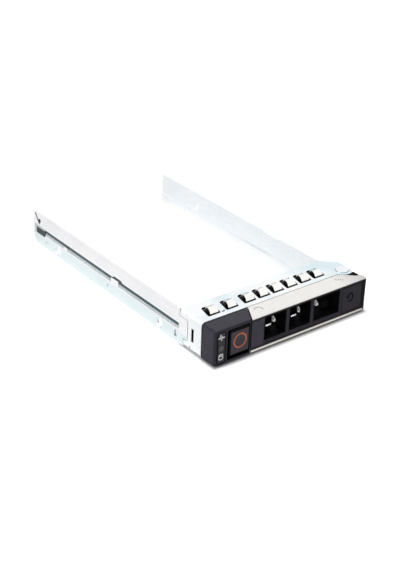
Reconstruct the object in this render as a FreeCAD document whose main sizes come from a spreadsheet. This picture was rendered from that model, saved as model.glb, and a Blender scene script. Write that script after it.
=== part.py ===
import FreeCAD, Part
import math
import os
from FreeCAD import Placement, Rotation, Vector

# Hot swap drive caddy for a 2.5-inch drive, in millimetres.
# X runs to the right seen from the front, Y to the rear, Z up.
# Every piece is drawn from the left face, the fascia front and the underside,
# and its Placement then puts the origin under the middle of the whole caddy.

os.makedirs("parts", exist_ok=True)
doc = FreeCAD.newDocument("drive_caddy")

SIZES = [
    # fascia and tray
    ("fascia_tall", 15.6, "height of the fascia and the tray"),
    ("fascia_d", 8.5, "depth of the fascia in front of the bracket"),
    ("sheet_t", 1.0, "steel sheet of bracket and rails"),
    ("bend_r", 1.6, "outer bend radius of the bracket"),
    ("seam", 0.3, "gap between fascia and bracket"),
    ("lap", 0.03, "air between lapped sheets"),
    # the drive that it carries
    ("drive_w", 69.85, "width of the drive"),
    ("drive_air", 0.15, "air on each side of the drive"),
    ("hole_front_y", 36.1, "front drive screw, from the fascia front"),
    ("hole_pitch", 76.6, "spacing of the drive screws"),
    ("hole_z", 3.0, "height of the drive screws"),
    ("hole_d", 3.3, "clearance hole for the drive screws"),
    ("sink_d", 4.7, "countersink of the drive screws"),
    ("sink_t", 0.55, "depth of the countersink"),
    ("drive_tail", 14.0, "rear drive screw to the drive's rear face"),
    ("rail_side", 7.15, "fascia beyond the right rail's inner face"),
    ("rail_tail", 6.3, "rails behind the drive's rear face"),
    ("fascia_w", "=sheet_t + drive_w + 2 * drive_air + rail_side", "fascia width over end cap and handle"),
    ("tray_l", "=hole_front_y + hole_pitch + drive_tail + rail_tail", "overall length"),
    # front bracket
    ("bracket_in", 0.1, "bracket edge inside the fascia width"),
    ("bracket_d", 13.5, "depth of the bracket plate"),
    ("gusset_d", 4.7, "set-back of the bracket plate at its right end"),
    ("web_front", 4.7, "right web ahead of the plate's rear right corner"),
    ("lug_r", 4.2, "radius of the bracket lugs round the pivot"),
    ("flange_d", 3.6, "depth of the bottom flange away from the pivot"),
    ("win_bar", 1.26, "bar between two finger windows of the row"),
    ("win_d", 7.0, "depth of a finger window"),
    ("win_front", 2.4, "finger windows behind the bracket's front edge"),
    ("win_slant", 1.4, "sideways slant of a window over its depth"),
    ("win_round", 0.6, "corner radius of a window"),
    ("win_heel", 1.3, "rounding of a window's left rear corner"),
    ("win_first", 5.3, "left edge of the first window"),
    ("win_last", 18.7, "left edge of the last window inside the fascia's right end"),
    ("win_row", 6, "windows in the row from the third on"),
    ("win_far", 1.2345, "wider steps to the second and third windows, in pitches"),
    ("win_pitch", "=(fascia_w - win_first - win_last) / (win_row - 1 + 2 * win_far)", "pitch of the row"),
    ("win_w", "=win_pitch - win_bar", "width of a finger window"),
    ("slot_y", 5.4, "snap slot centre behind the bracket's front edge"),
    ("slot_w", 1.5, "width of the snap slot"),
    ("slot_low", 4.5, "lower end of the snap slot"),
    ("slot_high", 10.4, "upper end of the snap slot"),
    # lapped joint between the bracket wall and the left rail
    ("lap_y", 8.4, "bracket wall length ahead of the lapped tongue"),
    ("lap_top", 12.5, "top of the tongue"),
    ("lap_low", 3.4, "underside of the tongue"),
    ("lap_step", 3.0, "length of the tongue ahead of the full rail"),
    ("lap_gap", 0.3, "gap round the tongue"),
    ("tab_l", 7.0, "length of the tab behind the tongue"),
    # spring fingers
    ("finger_t", 0.2, "thickness of the finger strip"),
    ("finger_side", 1.4, "finger inside its window's left edge"),
    ("finger_gap", 0.4, "finger inside its window's right edge"),
    ("finger_w", "=win_w - finger_side - finger_gap", "width of a spring finger"),
    ("finger_dip", 0.12, "finger tip under the plate's top"),
    ("finger_waist", 1.0, "finger narrower at its root than at its tip"),
    ("roof_air", 0.6, "black roofs under the bracket's plate"),
    ("roof_t", 0.8, "thickness of the black roofs"),
    ("roof_more", 0.5, "black roofs behind the finger windows"),
    ("finger_tip", 1.3, "gap ahead of a finger's tip"),
    ("finger_up", 0.8, "height of a finger over the plate"),
    ("strip_d", 3.3, "depth of the strip behind the windows"),
    # light pipes in the left rail
    ("pipe_z", 7.6, "middle of the pair of light pipes"),
    ("pipe_tall", 1.15, "height of one light pipe"),
    ("pipe_gap", 0.25, "gap between the two light pipes"),
    ("pipe_t", 0.53, "thickness of a light pipe"),
    ("pipe_in", 0.42, "light pipe behind the rail's outer face"),
    ("pipe_air", 0.12, "air over and under the pair of pipes"),
    ("pipe_end", 2.2, "light pipe ends short of the rail's end"),
    ("dive_y", 25.0, "light pipe starts to turn inwards"),
    ("dive_l", 6.2, "length of the turn inwards"),
    ("dive_x", 2.35, "light pipe's left face inside the cap"),
    ("riser_d", 2.2, "depth of a light pipe's riser behind the window"),
    ("riser_foot", 2.2, "lower riser's end inside the window"),
    ("riser_head", 1.4, "upper riser's end inside the window"),
    ("bridge_t", 0.32, "thickness of the tabs over the light pipes"),
    ("bridge_y", 65.0, "front edge of the middle tab"),
    ("bridge_l", 5.4, "length of the middle tab"),
    ("bridge_tall", 2.2, "height of the middle tab"),
    ("clip_l", 8.6, "length of the rear clip"),
    ("clip_tall", 4.2, "height of the rear clip"),
    ("clip_end", 1.2, "rear clip ends short of the rail's end"),
    ("clip_web_l", 5.5, "length of the rear clip's inner web"),
    ("web_end", 0.5, "inner web ends short of the rail's end"),
    # rails
    ("nose", 2.4, "lead-in chamfer at the rail ends"),
    ("coin_z", 1.15, "coined line under the rail's top edge"),
    ("coin_w", 0.25, "width of the coined line"),
    ("coin_d", 0.15, "depth of the coined line"),
    ("joggle_z", 5.6, "height of the step along the right rail"),
    ("joggle_x", 0.35, "side step of the right rail"),
    ("notch_y", 46.5, "front end of the notch in the right rail"),
    ("notch_l", 11.5, "length of the notch in the right rail"),
    ("notch_d", 0.7, "depth of the notch in the right rail"),
    ("guide_y", 6.9, "guide hole ahead of the rear drive screw"),
    ("pip_front", 8.0, "front pip behind the middle tab's front edge"),
    ("pip_rear", 10.7, "rear pip ahead of the rail's end"),
    ("weld_in", 0.5, "weld flange behind the right rail's front end"),
    ("weld_air", 0.6, "weld flange ahead of the right web's rear edge"),
    # end cap
    ("cap_front", 17.2, "width of the end cap at the front"),
    ("cap_back", 21.9, "width of the end cap at the back"),
    ("cap_round", 0.8, "rounding of the end cap"),
    ("cap_corner", 1.6, "rounding of the cap's left front corner"),
    ("cap_tail", 3.6, "cap behind the seam, inside the bracket"),
    ("cap_fit", 0.05, "air between cap and bracket"),
    ("snap_t", 0.9, "thickness of the cap's snap arm"),
    ("led_x", 0.95, "left edge of the status window"),
    ("led_w", 4.2, "width of the status window"),
    ("led_low", 0.95, "lower edge of the status window"),
    ("led_rim", 0.85, "cap over the status window"),
    ("led_tall", "=fascia_tall - led_low - led_rim", "height of the status window"),
    ("led_t", 0.4, "thickness of the status window"),
    ("led_in", 0.1, "status window behind the cap's face"),
    ("led_round", 1.0, "corner radius of the status window"),
    ("dot_r", 1.25, "radius of the sensor lens"),
    ("dot_z", 7.6, "height of the sensor lens"),
    # release button
    ("well_x", 5.85, "left edge of the button's well"),
    ("well_w", 11.0, "width of the button's well"),
    ("well_low", 1.4, "lower edge of the button's well"),
    ("well_rim", 1.0, "cap over the button's well"),
    ("well_tall", "=fascia_tall - well_low - well_rim", "height of the button's well"),
    ("well_d", 7.5, "depth of the button's well"),
    ("btn_x", 6.85, "left edge of the button"),
    ("btn_w", 9.7, "width of the button"),
    ("btn_low", 2.8, "lower edge of the button"),
    ("btn_gap", 0.6, "air over the button in its well"),
    ("btn_tall", "=well_low + well_tall - btn_gap - btn_low", "height of the button"),
    ("btn_t", 1.0, "thickness of the button's face"),
    ("btn_in", 0.2, "button's face behind the cap's face"),
    ("btn_round", 1.3, "corner radius of the button"),
    ("btn_travel", 1.2, "travel of the button"),
    ("ring_r", 2.95, "middle radius of the coloured ring"),
    ("ring_w", 0.75, "width of the coloured ring"),
    ("ring_d", 0.3, "depth of the ring's groove"),
    ("stem_x", 8.7, "left face of the button's stem"),
    ("stem_w", 5.8, "width of the stem"),
    ("stem_low", 9.9, "underside of the stem"),
    ("stem_tall", 2.6, "height of the stem"),
    ("stem_l", 4.6, "length of the stem"),
    ("peg_r", 0.7, "radius of the cam peg"),
    ("peg_y", 4.4, "cam peg behind the fascia front"),
    ("peg_fit", 0.05, "air round the cam peg"),
    ("spring_r", 1.3, "coil radius of the button's spring"),
    ("spring_wire", 0.36, "wire of the button's spring"),
    ("spring_z", 4.75, "height of the button's spring"),
    ("spring_turns", 5, "turns of the button's spring"),
    # latch
    ("latch_t", 2.8, "height of the latch slide"),
    ("latch_low", 6.7, "underside of the latch slide"),
    ("latch_front", 2.75, "front of the latch slide"),
    ("latch_d", 4.45, "depth of the latch slide"),
    ("latch_x", 9.2, "left end of the latch slide"),
    ("latch_l", 6.6, "length of the latch's body"),
    ("tooth_front", 4.8, "front of the latch's tooth"),
    ("tooth_d", 1.4, "depth of the latch's tooth"),
    ("tooth_x", 20.25, "tip of the latch's tooth"),
    ("tooth_air", 0.3, "air round the tooth and the catch"),
    # handle
    ("lever_gap", 0.6, "gap between end cap and handle"),
    ("lever_low", 0.75, "underside of the handle"),
    ("cover_t", 0.6, "sheet of the handle's cover"),
    ("strip_t", 0.8, "lower strip of the cover"),
    ("cover_low_d", 3.5, "depth of the cover's lower strip"),
    ("cover_end_d", 3.3, "depth of the cover's right end"),
    ("cover_r", 4.48, "cover's slanted edge ahead of the pivot"),
    ("cover_turn", 130.7, "direction of the cover's slanted edge from the pivot"),
    ("grille_in", 0.25, "grille's face behind the cover's edge"),
    ("grille_fit", 0.05, "air between grille and cover"),
    ("grille_d", 6.5, "depth of the grille"),
    ("pad_d", 3.2, "depth of the right pad"),
    ("pad_back", 11.9, "right pad's back, from the fascia's right end"),
    ("pad_w", 14.2, "width of the right pad at the front"),
    ("hatch_sill", 2.3, "grille under its windows"),
    ("hatch_lintel", 0.75, "grille over its windows"),
    ("hatch_x", 24.3, "left edge of the first grille window"),
    ("mullion", 1.7, "bar between two grille windows"),
    ("hatch_more", 2.8, "last grille window, wider than the others"),
    ("hatch_w", "=(fascia_w - pad_w - hatch_x - 2 * mullion - hatch_more) / 3", "width of a grille window"),
    ("hatch_round", 0.35, "corner radius of the grille windows"),
    ("pivot_in", 3.7, "handle pivot inside the fascia's right end"),
    ("pivot_y", 10.6, "handle pivot from the front"),
    ("pin_r", 1.5, "radius of the pivot pin"),
    ("pin_fit", 0.05, "running clearance on the pin"),
    ("head_r", 2.7, "radius of the pin's head"),
    ("head_t", 0.35, "height of the pin's head"),
    ("hub_r", 3.1, "radius of the handle's hub"),
    ("hub_air", 0.3, "air between the hub and the bracket"),
    ("arm_w", 5.8, "width of the handle's arms"),
    ("cam_t", 2.2, "thickness of the ejector cam"),
    ("cam_low", 6.6, "underside of the ejector cam"),
    ("cam_air", 0.2, "air between the cam and the arms"),
    ("cam_tip", 5.5, "reach of the ejector cam from the pivot"),
    ("catch_t", 2.0, "thickness of the handle's catch"),
    ("catch_d", 1.5, "depth of the handle's catch"),
    ("catch_l", 3.3, "length of the handle's catch"),
    ("catch_out", 0.75, "catch beyond the handle's left end"),
    # inner wall behind the handle
    ("wall_t", 1.0, "thickness of the vented wall"),
    ("wall_fit", 0.05, "air over and under the vented wall"),
    ("wall_side", 0.8, "vented wall right of the cap's tail"),
    ("wall_end", 6.9, "vented wall's end left of the pivot"),
    ("vent_in", 0.9, "first vent right of the first grille window"),
    ("vent_more", 0.5, "step to the second vent, beyond the windows' pitch"),
    ("vent_first", "=hatch_w + vent_in", "first vent from the grille windows' left edge"),
    ("vent_step", "=hatch_w + mullion + vent_more", "step to the second vent"),
    ("vent_last", "=hatch_w - mullion", "step to the last vent"),
    ("vent_low", 4.1, "lower end of the tall vents"),
    ("vent_tall", 3.0, "height of the tall vents"),
    ("dash_w", 2.8, "width of the low vents"),
    ("dash_tall", 0.75, "height of the low vents"),
    ("dash_low", 3.3, "lower edge of the low vents"),
]

sheet = doc.addObject("Spreadsheet::Sheet", "sizes")
for row, (alias, value, note) in enumerate(SIZES, 1):
    sheet.set("A%d" % row, alias)
    sheet.set("B%d" % row, str(value))
    sheet.setAlias("B%d" % row, alias)
    sheet.set("C%d" % row, note)
doc.recompute()


def size(alias):
    """The value of a named cell."""
    return float(sheet.get(alias))


# --- places that several pieces share --------------------------------------

TALL = size("fascia_tall")
SHEET = size("sheet_t")
FRONT = size("fascia_d") + size("seam")
REAR = FRONT + size("bracket_d")
BRACKET_R = size("fascia_w") - size("bracket_in")
RAIL_R = SHEET + size("drive_w") + 2 * size("drive_air")
RAIL_END = size("tray_l")
PIVOT = (size("fascia_w") - size("pivot_in"), size("pivot_y"))
past = 2.0
LAP_Y = FRONT + size("lap_y")
PIPE_LOW = size("pipe_z") - size("pipe_gap") / 2 - size("pipe_tall")
PIPE_HIGH = size("pipe_z") + size("pipe_gap") / 2 + size("pipe_tall")
WINDOW_LEFTS = [size("win_first"), size("win_first") + size("win_far") * size("win_pitch")]
ROW_LEFT = WINDOW_LEFTS[1] + size("win_far") * size("win_pitch")
WIN_Y = FRONT + size("win_front")
PLATE_LOW = TALL - SHEET


def cap_edge(y):
    """X of the cap's slanted right side at depth y."""
    return size("cap_front") + (size("cap_back") - size("cap_front")) * y / size("fascia_d")


def lever_edge(y):
    """X of the handle's slanted left end at depth y."""
    return cap_edge(y) + size("lever_gap")


# --- outlines ---------------------------------------------------------------

def outline(points):
    """Closed loop of lines; a third number rounds that corner."""
    count = len(points)
    joints = []
    for index, point in enumerate(points):
        here = Vector(point[0], point[1], 0)
        radius = point[2] if len(point) > 2 else 0.0
        before = Vector(points[index - 1][0], points[index - 1][1], 0)
        after = Vector(points[(index + 1) % count][0], points[(index + 1) % count][1], 0)
        to_before = (before - here).normalize()
        to_after = (after - here).normalize()
        if radius <= 0:
            joints.append((here, None, here))
            continue
        half = to_before.getAngle(to_after) / 2
        reach = radius / math.tan(half)
        middle = (to_before + to_after).normalize() * (radius / math.sin(half))
        start = here + to_before * reach
        end = here + to_after * reach
        crown = here + middle - Vector(middle).normalize() * radius
        joints.append((start, crown, end))
    edges = []
    for index, (start, crown, end) in enumerate(joints):
        if crown is not None:
            edges.append(Part.Arc(start, crown, end))
        following = joints[(index + 1) % count][0]
        if (following - end).Length > 1e-6:
            edges.append(Part.LineSegment(end, following))
    return edges


def rectangle(x_low, x_high, y_low, y_high, radius=0.0):
    """Rectangle with one corner radius."""
    corners = [(x_low, y_low), (x_high, y_low), (x_high, y_high), (x_low, y_high)]
    return outline([(x, y, radius) for x, y in corners])


def circle(x, y, radius):
    """Full circle."""
    return [Part.Circle(Vector(x, y, 0), Vector(0, 0, 1), radius)]


def arc_through(first, middle, last):
    """Arc through three points of the sketch plane."""
    return Part.Arc(Vector(*first, 0), Vector(*middle, 0), Vector(*last, 0))


def line(first, last):
    """Straight edge of the sketch plane."""
    return Part.LineSegment(Vector(*first, 0), Vector(*last, 0))


def on_pivot(radius, degrees):
    """Point at a radius and a direction from the pivot."""
    turn = math.radians(degrees)
    return (PIVOT[0] + radius * math.cos(turn), PIVOT[1] + radius * math.sin(turn))


# --- features ---------------------------------------------------------------

PLANES = {"X": ("YZ_Plane", 1), "Y": ("XZ_Plane", -1), "Z": ("XY_Plane", 1)}
PARTS = []


def place(item, label):
    """Give a sub-part its label and its place about the caddy's origin."""
    item.Label = label
    item.setExpression("Placement.Base.x", "-sizes.fascia_w / 2")
    item.setExpression("Placement.Base.y", "-sizes.tray_l / 2")
    PARTS.append(item)
    return item


def new_body(label):
    """Empty body for one sub-part."""
    return place(doc.addObject("PartDesign::Body", label), label)


def sketch(body, name, axis, height, loops):
    """Sketch square to an axis, at a height along it."""
    role, sign = PLANES[axis]
    drawn = body.newObject("Sketcher::SketchObject", name + "_sketch")
    plane = [item for item in body.Origin.OriginFeatures if item.Role == role][0]
    drawn.AttachmentSupport = (plane, [""])
    drawn.MapMode = "FlatFace"
    drawn.AttachmentOffset = Placement(Vector(0, 0, sign * height), Rotation())
    for loop in loops:
        drawn.addGeometry(loop, False)
    return drawn


def volume(body):
    """Volume of a body so far."""
    doc.recompute()
    return body.Shape.Volume if not body.Shape.isNull() else 0.0


def add(body, name, axis, low, high, loops, length=None):
    """Pad the loops from low to high along an axis."""
    before = volume(body)
    start = low if PLANES[axis][1] > 0 else high
    feature = body.newObject("PartDesign::Pad", name)
    feature.Profile = sketch(body, name, axis, start, loops)
    feature.Length = high - low
    if length:
        feature.setExpression("Length", length)
    if volume(body) <= before:
        raise ValueError(name + " adds nothing")
    return feature


def cut(body, name, axis, low, high, loops, length=None):
    """Pocket the loops from low to high along an axis."""
    before = volume(body)
    start = high if PLANES[axis][1] > 0 else low
    feature = body.newObject("PartDesign::Pocket", name)
    feature.Profile = sketch(body, name, axis, start, loops)
    feature.Length = high - low
    if length:
        feature.setExpression("Length", length)
    if volume(body) >= before:
        raise ValueError(name + " cuts nothing")
    return feature


def row(body, feature, name):
    """Repeat a feature along X at the windows' pitch."""
    pattern = body.newObject("PartDesign::LinearPattern", name)
    axis = [item for item in body.Origin.OriginFeatures if item.Role == "X_Axis"][0]
    pattern.Originals = [feature]
    pattern.Direction = (axis, [""])
    pattern.setExpression("Length", "sizes.win_pitch * (sizes.win_row - 1)")
    pattern.setExpression("Occurrences", "sizes.win_row")
    body.Tip = pattern
    return pattern


def screw_holes(body, face, inward):
    """Two drive screw holes along X; the countersinks open at the outer face."""
    for index in range(2):
        hole_y = size("hole_front_y") + index * size("hole_pitch")
        name = "drive_screw_%d" % (index + 1)
        low, high = sorted((face - inward * past, face + inward * (SHEET + past)))
        cut(body, name, "X", low, high, [circle(hole_y, size("hole_z"), size("hole_d") / 2)])
        cone = body.newObject("PartDesign::SubtractiveCone", name + "_sink")
        foot = Vector(face + inward * size("sink_t"), hole_y, size("hole_z"))
        cone.Placement = Placement(foot, Rotation(Vector(0, 1, 0), -90 * inward))
        cone.setExpression("Radius1", "sizes.hole_d / 2")
        cone.setExpression("Radius2", "sizes.sink_d / 2")
        cone.setExpression("Height", "sizes.sink_t")
        doc.recompute()


def soften(body, name, radius, wanted):
    """Round the edges that a test picks."""
    doc.recompute()
    found = ["Edge%d" % (index + 1) for index, edge in enumerate(body.Shape.Edges) if wanted(edge)]
    feature = body.newObject("PartDesign::Fillet", name)
    feature.Base = (body.Tip if body.Tip != feature else feature.BaseFeature, found)
    feature.setExpression("Radius", radius)
    doc.recompute()
    return feature


# --- front bracket: one folded sheet ---------------------------------------

bracket = new_body("front_bracket")
lug_front = PIVOT[1] - size("lug_r")
bend = size("bend_r")
inner = bend - SHEET
section = outline([
    (BRACKET_R, TALL), (0, TALL, bend), (0, 0, bend), (BRACKET_R, 0),
    (BRACKET_R, SHEET), (SHEET, SHEET, inner), (SHEET, PLATE_LOW, inner), (BRACKET_R, PLATE_LOW),
])
add(bracket, "fold", "Y", lug_front, REAR, [section])
web_rear = REAR - size("gusset_d")
add(bracket, "right_web", "Z", SHEET / 2, TALL - SHEET / 2,
    [rectangle(BRACKET_R - SHEET, BRACKET_R, web_rear - size("web_front"), web_rear)])

# plan outline: straight front edge, round lug about the pivot, slanted gusset
lug_left = PIVOT[0] - math.sqrt(size("lug_r") ** 2 - (PIVOT[1] - FRONT) ** 2)
lug_right = PIVOT[1] - math.sqrt(size("lug_r") ** 2 - (BRACKET_R - PIVOT[0]) ** 2)
cut(bracket, "front_edge", "Z", -past, TALL + past, [[
    line((-past, lug_front - past), (-past, FRONT)),
    line((-past, FRONT), (lug_left, FRONT)),
    arc_through((lug_left, FRONT), on_pivot(size("lug_r"), -100), (BRACKET_R, lug_right)),
    line((BRACKET_R, lug_right), (BRACKET_R + past, lug_right)),
    line((BRACKET_R + past, lug_right), (BRACKET_R + past, lug_front - past)),
    line((BRACKET_R + past, lug_front - past), (-past, lug_front - past)),
]])
gusset_x = RAIL_R + SHEET
cut(bracket, "gusset", "Z", -past, TALL + past, [outline([
    (gusset_x, REAR), (BRACKET_R, REAR - size("gusset_d")),
    (BRACKET_R + past, REAR - size("gusset_d")), (BRACKET_R + past, REAR + past), (gusset_x, REAR + past),
])])

# the bottom flange is only as deep as the pivot needs
flange_rear = PIVOT[1] + size("lug_r") + SHEET
cut(bracket, "flange_edge", "Z", -past, TALL / 2, [rectangle(SHEET + inner, BRACKET_R - SHEET, flange_rear, REAR + past)])

relief_left = size("cap_back") + 0.6
relief_right = PIVOT[0] - size("lug_r") - 3.0
relief_front = FRONT + size("flange_d")
cut(bracket, "flange_relief", "Z", -past, TALL / 2, [outline([
    (relief_left, relief_front, 0.6), (relief_right, relief_front, 0.6),
    (relief_right, REAR + past), (relief_left, REAR + past),
])])

# left wall: the rail's tongue takes its place behind LAP_Y
step_y = LAP_Y + size("lap_step")
gap = size("lap_gap")
cut(bracket, "tongue_space", "X", -past, SHEET, [outline([
    (LAP_Y, size("lap_low") - gap, 1.2), (LAP_Y, size("lap_top") + gap, 1.2),
    (REAR + past, size("lap_top") + gap), (REAR + past, -past),
    (step_y - gap, -past), (step_y - gap, size("lap_low") - gap),
])])
slot_y = FRONT + size("slot_y")
cut(bracket, "snap_slot", "X", -past, SHEET, [rectangle(
    slot_y - size("slot_w") / 2, slot_y + size("slot_w") / 2, size("slot_low"), size("slot_high"), 0.2)])
cut(bracket, "drain_hole", "X", -past, SHEET, [circle(slot_y + 1.6, bend, 0.5)])
cut(bracket, "toe_slit", "X", -past, SHEET + past, [rectangle(FRONT - past, FRONT + 4.7, 0.55, 0.95)])

# joggled tab behind the tongue, open where the light pipes pass
tab_x = SHEET + size("lap")
tab_plan = outline([
    (0, LAP_Y - SHEET - 0.4), (0, LAP_Y - SHEET), (tab_x, LAP_Y + size("lap")), (tab_x, LAP_Y + size("tab_l")),
    (tab_x + SHEET, LAP_Y + size("tab_l")), (tab_x + SHEET, LAP_Y - 0.4), (SHEET, LAP_Y - SHEET - 0.4),
])
pipe_clear = 0.4
add(bracket, "tab_low", "Z", size("lap_low") + gap, PIPE_LOW - pipe_clear, [tab_plan])
add(bracket, "tab_high", "Z", PIPE_HIGH + pipe_clear, size("lap_top") - gap, [tab_plan])

# finger windows
def window(left):
    """Slanted window in the top plate."""
    wide = size("win_w")
    slant = size("win_slant")
    rear = WIN_Y + size("win_d")
    corner = size("win_round")
    return outline([
        (left, WIN_Y, corner), (left + wide, WIN_Y, corner),
        (left + wide + slant, rear, corner), (left + slant, rear, size("win_heel")),
    ])


for index, left in enumerate(WINDOW_LEFTS):
    cut(bracket, "window_%d" % (index + 1), "Z", PLATE_LOW - 0.5, TALL, [window(left)])
first_of_row = cut(bracket, "window_3", "Z", PLATE_LOW - 0.5, TALL, [window(ROW_LEFT)])
row(bracket, first_of_row, "window_row")
ear_x = WINDOW_LEFTS[0] + size("win_w") + 0.7
cut(bracket, "ear_slot", "Z", PLATE_LOW - 0.5, TALL, [outline([
    (ear_x, WIN_Y - 0.2, 0.2), (ear_x + 1.9, WIN_Y + 0.5, 0.2), (ear_x + 1.9, WIN_Y + 1.2, 0.2),
    (ear_x + 1.0, WIN_Y + 0.75), (ear_x, WIN_Y + 0.6, 0.2),
])])
cut(bracket, "pin_hole", "Z", -past, TALL + past, [circle(PIVOT[0], PIVOT[1], size("pin_r"))])

# --- spring finger strip ----------------------------------------------------

# one arched sheet under the plate, split into leaves by slanted gaps
strip = new_body("emi_finger_strip")
thin = size("finger_t")
strip_top = PLATE_LOW - size("lap")
win_rear = WIN_Y + size("win_d")
root_y = win_rear - 0.1
tip_y = WIN_Y + size("finger_tip")
finger_left = WINDOW_LEFTS[0] + size("finger_side")
row_last = ROW_LEFT + size("win_pitch") * (size("win_row") - 1)
gap_w = size("win_pitch") - size("finger_w")
strip_right = row_last + size("finger_side") + size("finger_w") + size("win_slant") + gap_w / 2
add(strip, "strip", "Z", strip_top - thin, strip_top,
    [rectangle(finger_left, strip_right, root_y - 0.1, root_y + size("strip_d"), 0.05)], "sizes.finger_t")
crown_y = tip_y + 0.42 * (root_y - tip_y)
marks = [(root_y, strip_top), (crown_y, TALL + size("finger_up")), (tip_y, TALL - size("finger_dip"))]
under = [(y, z - thin) for y, z in marks]
add(strip, "arch", "X", finger_left, strip_right, [[
    arc_through(*marks), line(marks[2], under[2]), arc_through(*under), line(under[0], marks[0]),
]])


def lean(y):
    """Sideways lean of the leaves at depth y."""
    return size("win_slant") * (y - WIN_Y) / size("win_d")


def leaf_gap(left, right):
    """Gap between two leaves, slanted like the windows and wider at the leaves' roots."""
    ahead = tip_y - 1.0
    return outline([
        (left + lean(ahead), ahead), (right + lean(ahead), ahead),
        (right + lean(root_y) + size("finger_waist"), root_y), (left + lean(root_y), root_y),
    ])


leaf_lefts = [left + size("finger_side") for left in WINDOW_LEFTS + [ROW_LEFT]]
below = strip_top - 2 * thin
above = TALL + size("finger_up") + 1.0
for index, left in enumerate(leaf_lefts):
    behind = leaf_lefts[index - 1] + size("finger_w") if index else left - 3.0
    cut(strip, "gap_%d" % (index + 1), "Z", below, above, [leaf_gap(behind, left)])
row_gap_left = leaf_lefts[2] + size("finger_w")
row(strip, cut(strip, "gap_4", "Z", below, above, [leaf_gap(row_gap_left, row_gap_left + gap_w)]), "gap_row")

# --- left rail --------------------------------------------------------------

left_rail = new_body("left_rail")
nose = size("nose")
add(left_rail, "blank", "X", 0, SHEET, [outline([
    (LAP_Y + gap, size("lap_low"), 1.0), (LAP_Y + gap, size("lap_top"), 1.0), (REAR + gap, size("lap_top")),
    (REAR + gap, TALL), (RAIL_END - 0.6, TALL, 0.6), (RAIL_END, TALL - nose, 0.6),
    (RAIL_END, nose, 0.6), (RAIL_END - nose, 0, 0.6), (step_y, 0), (step_y, size("lap_low")),
])], "sizes.sheet_t")
air = size("pipe_air")
slot_front = size("dive_y") - 2.0
slot_rear = RAIL_END - size("clip_end") - size("clip_l")
cut(left_rail, "pipe_slot", "X", -past, SHEET,
    [rectangle(slot_front, slot_rear + 0.5, PIPE_LOW - air, PIPE_HIGH + air, 0.3)])
clip_low = size("pipe_z") - size("clip_tall") / 2 - 0.4
clip_high = clip_low + size("clip_tall")
clip_rear = RAIL_END - size("clip_end")
cut(left_rail, "clip_slot", "X", -past, SHEET, [rectangle(slot_rear, clip_rear, clip_low, clip_high, 0.5)])
bow_y = size("bridge_y")
bow_high = PIPE_HIGH + air
cut(left_rail, "bridge_relief", "X", -past, SHEET, [outline([
    (bow_y - 3.4, bow_high - 0.4), (bow_y - 2.2, bow_high + 0.75, 0.6), (bow_y + 3.2, bow_high + 0.75, 0.6),
    (bow_y + 4.4, bow_high - 0.4),
])])
add(left_rail, "bridge", "X", 0, size("bridge_t"), [rectangle(
    bow_y, bow_y + size("bridge_l"), PIPE_LOW - air - 0.3, PIPE_LOW - air + size("bridge_tall"), 0.25)], "sizes.bridge_t")
rear_tab_y = size("hole_front_y") + size("hole_pitch") - 8.0
add(left_rail, "rear_bridge", "X", 0, size("bridge_t"), [rectangle(
    rear_tab_y, rear_tab_y + 2.4, PIPE_LOW - air - 0.3, PIPE_LOW - air + 1.2, 0.2)], "sizes.bridge_t")
streak_w = 1.3
streak_y = clip_rear - 4.7
streak_z = clip_high + 0.7
cut(left_rail, "rear_lance", "X", -past, SHEET, [outline([
    (streak_y, streak_z, 0.3), (streak_y + streak_w, streak_z, 0.3),
    (streak_y + streak_w + 3.4, TALL - 0.9, 0.3), (streak_y + 3.4, TALL - 0.9, 0.3),
])])
screw_holes(left_rail, 0, 1)
cut(left_rail, "coined_line", "X", -past, size("coin_d"), [rectangle(
    REAR + 3.0, RAIL_END - 12.0, TALL - size("coin_z") - size("coin_w"), TALL - size("coin_z"))])
cut(left_rail, "oval_hole", "X", -past, SHEET, [rectangle(
    size("dive_y") - 0.9, size("dive_y") + 0.9, size("hole_z") - 1.3, size("hole_z") + 2.0, 0.85)])
cut(left_rail, "dimples", "X", -past, 0.35, [
    circle(size("hole_front_y") - 4.7, 12.8, 0.45), circle(size("hole_front_y") - 4.7, 10.7, 0.45)])
cut(left_rail, "pip_hole", "X", -past, SHEET, [
    circle(bow_y + size("pip_front"), size("hole_z") + 0.4, 0.6),
    circle(RAIL_END - size("pip_rear"), size("hole_z") + 0.2, 0.65)])
ring_y = rear_tab_y + 0.6
cut(left_rail, "coined_ring", "X", -past, size("coin_d"), [
    circle(ring_y, TALL - 3.1, 1.5), circle(ring_y, TALL - 3.1, 1.2)])

# --- right rail -------------------------------------------------------------

right_rail = new_body("right_rail")
step_x = size("joggle_x")
low_z = SHEET + size("lap")
high_z = PLATE_LOW - size("lap")
rail_front = PIVOT[1] + size("hub_r") + 0.7
bent = size("joggle_z")
profile = outline([
    (RAIL_R, 0), (RAIL_R + SHEET, 0), (RAIL_R + SHEET, bent, 0.4), (RAIL_R + SHEET + step_x, bent + 1.0, 0.4),
    (RAIL_R + SHEET + step_x, TALL), (RAIL_R + step_x, TALL), (RAIL_R + step_x, bent + 1.0, 0.4), (RAIL_R, bent, 0.4),
])
add(right_rail, "blank", "Y", rail_front, RAIL_END, [profile])
cut(right_rail, "under_plate", "X", RAIL_R - past, RAIL_R + SHEET + past, [
    rectangle(rail_front - past, REAR + size("lap_gap"), high_z, TALL + past),
    rectangle(rail_front - past, REAR + size("lap_gap"), -past, low_z)])
cut(right_rail, "rear_nose", "X", RAIL_R - past, RAIL_R + SHEET + past, [
    outline([(RAIL_END - 0.6, TALL), (RAIL_END, TALL - nose), (RAIL_END + past, TALL - nose), (RAIL_END + past, TALL + past),
             (RAIL_END - 0.6, TALL + past)]),
    outline([(RAIL_END - nose, 0), (RAIL_END - nose, -past), (RAIL_END + past, -past), (RAIL_END + past, nose),
             (RAIL_END, nose)])])
notch_low = TALL - size("notch_d")
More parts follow.
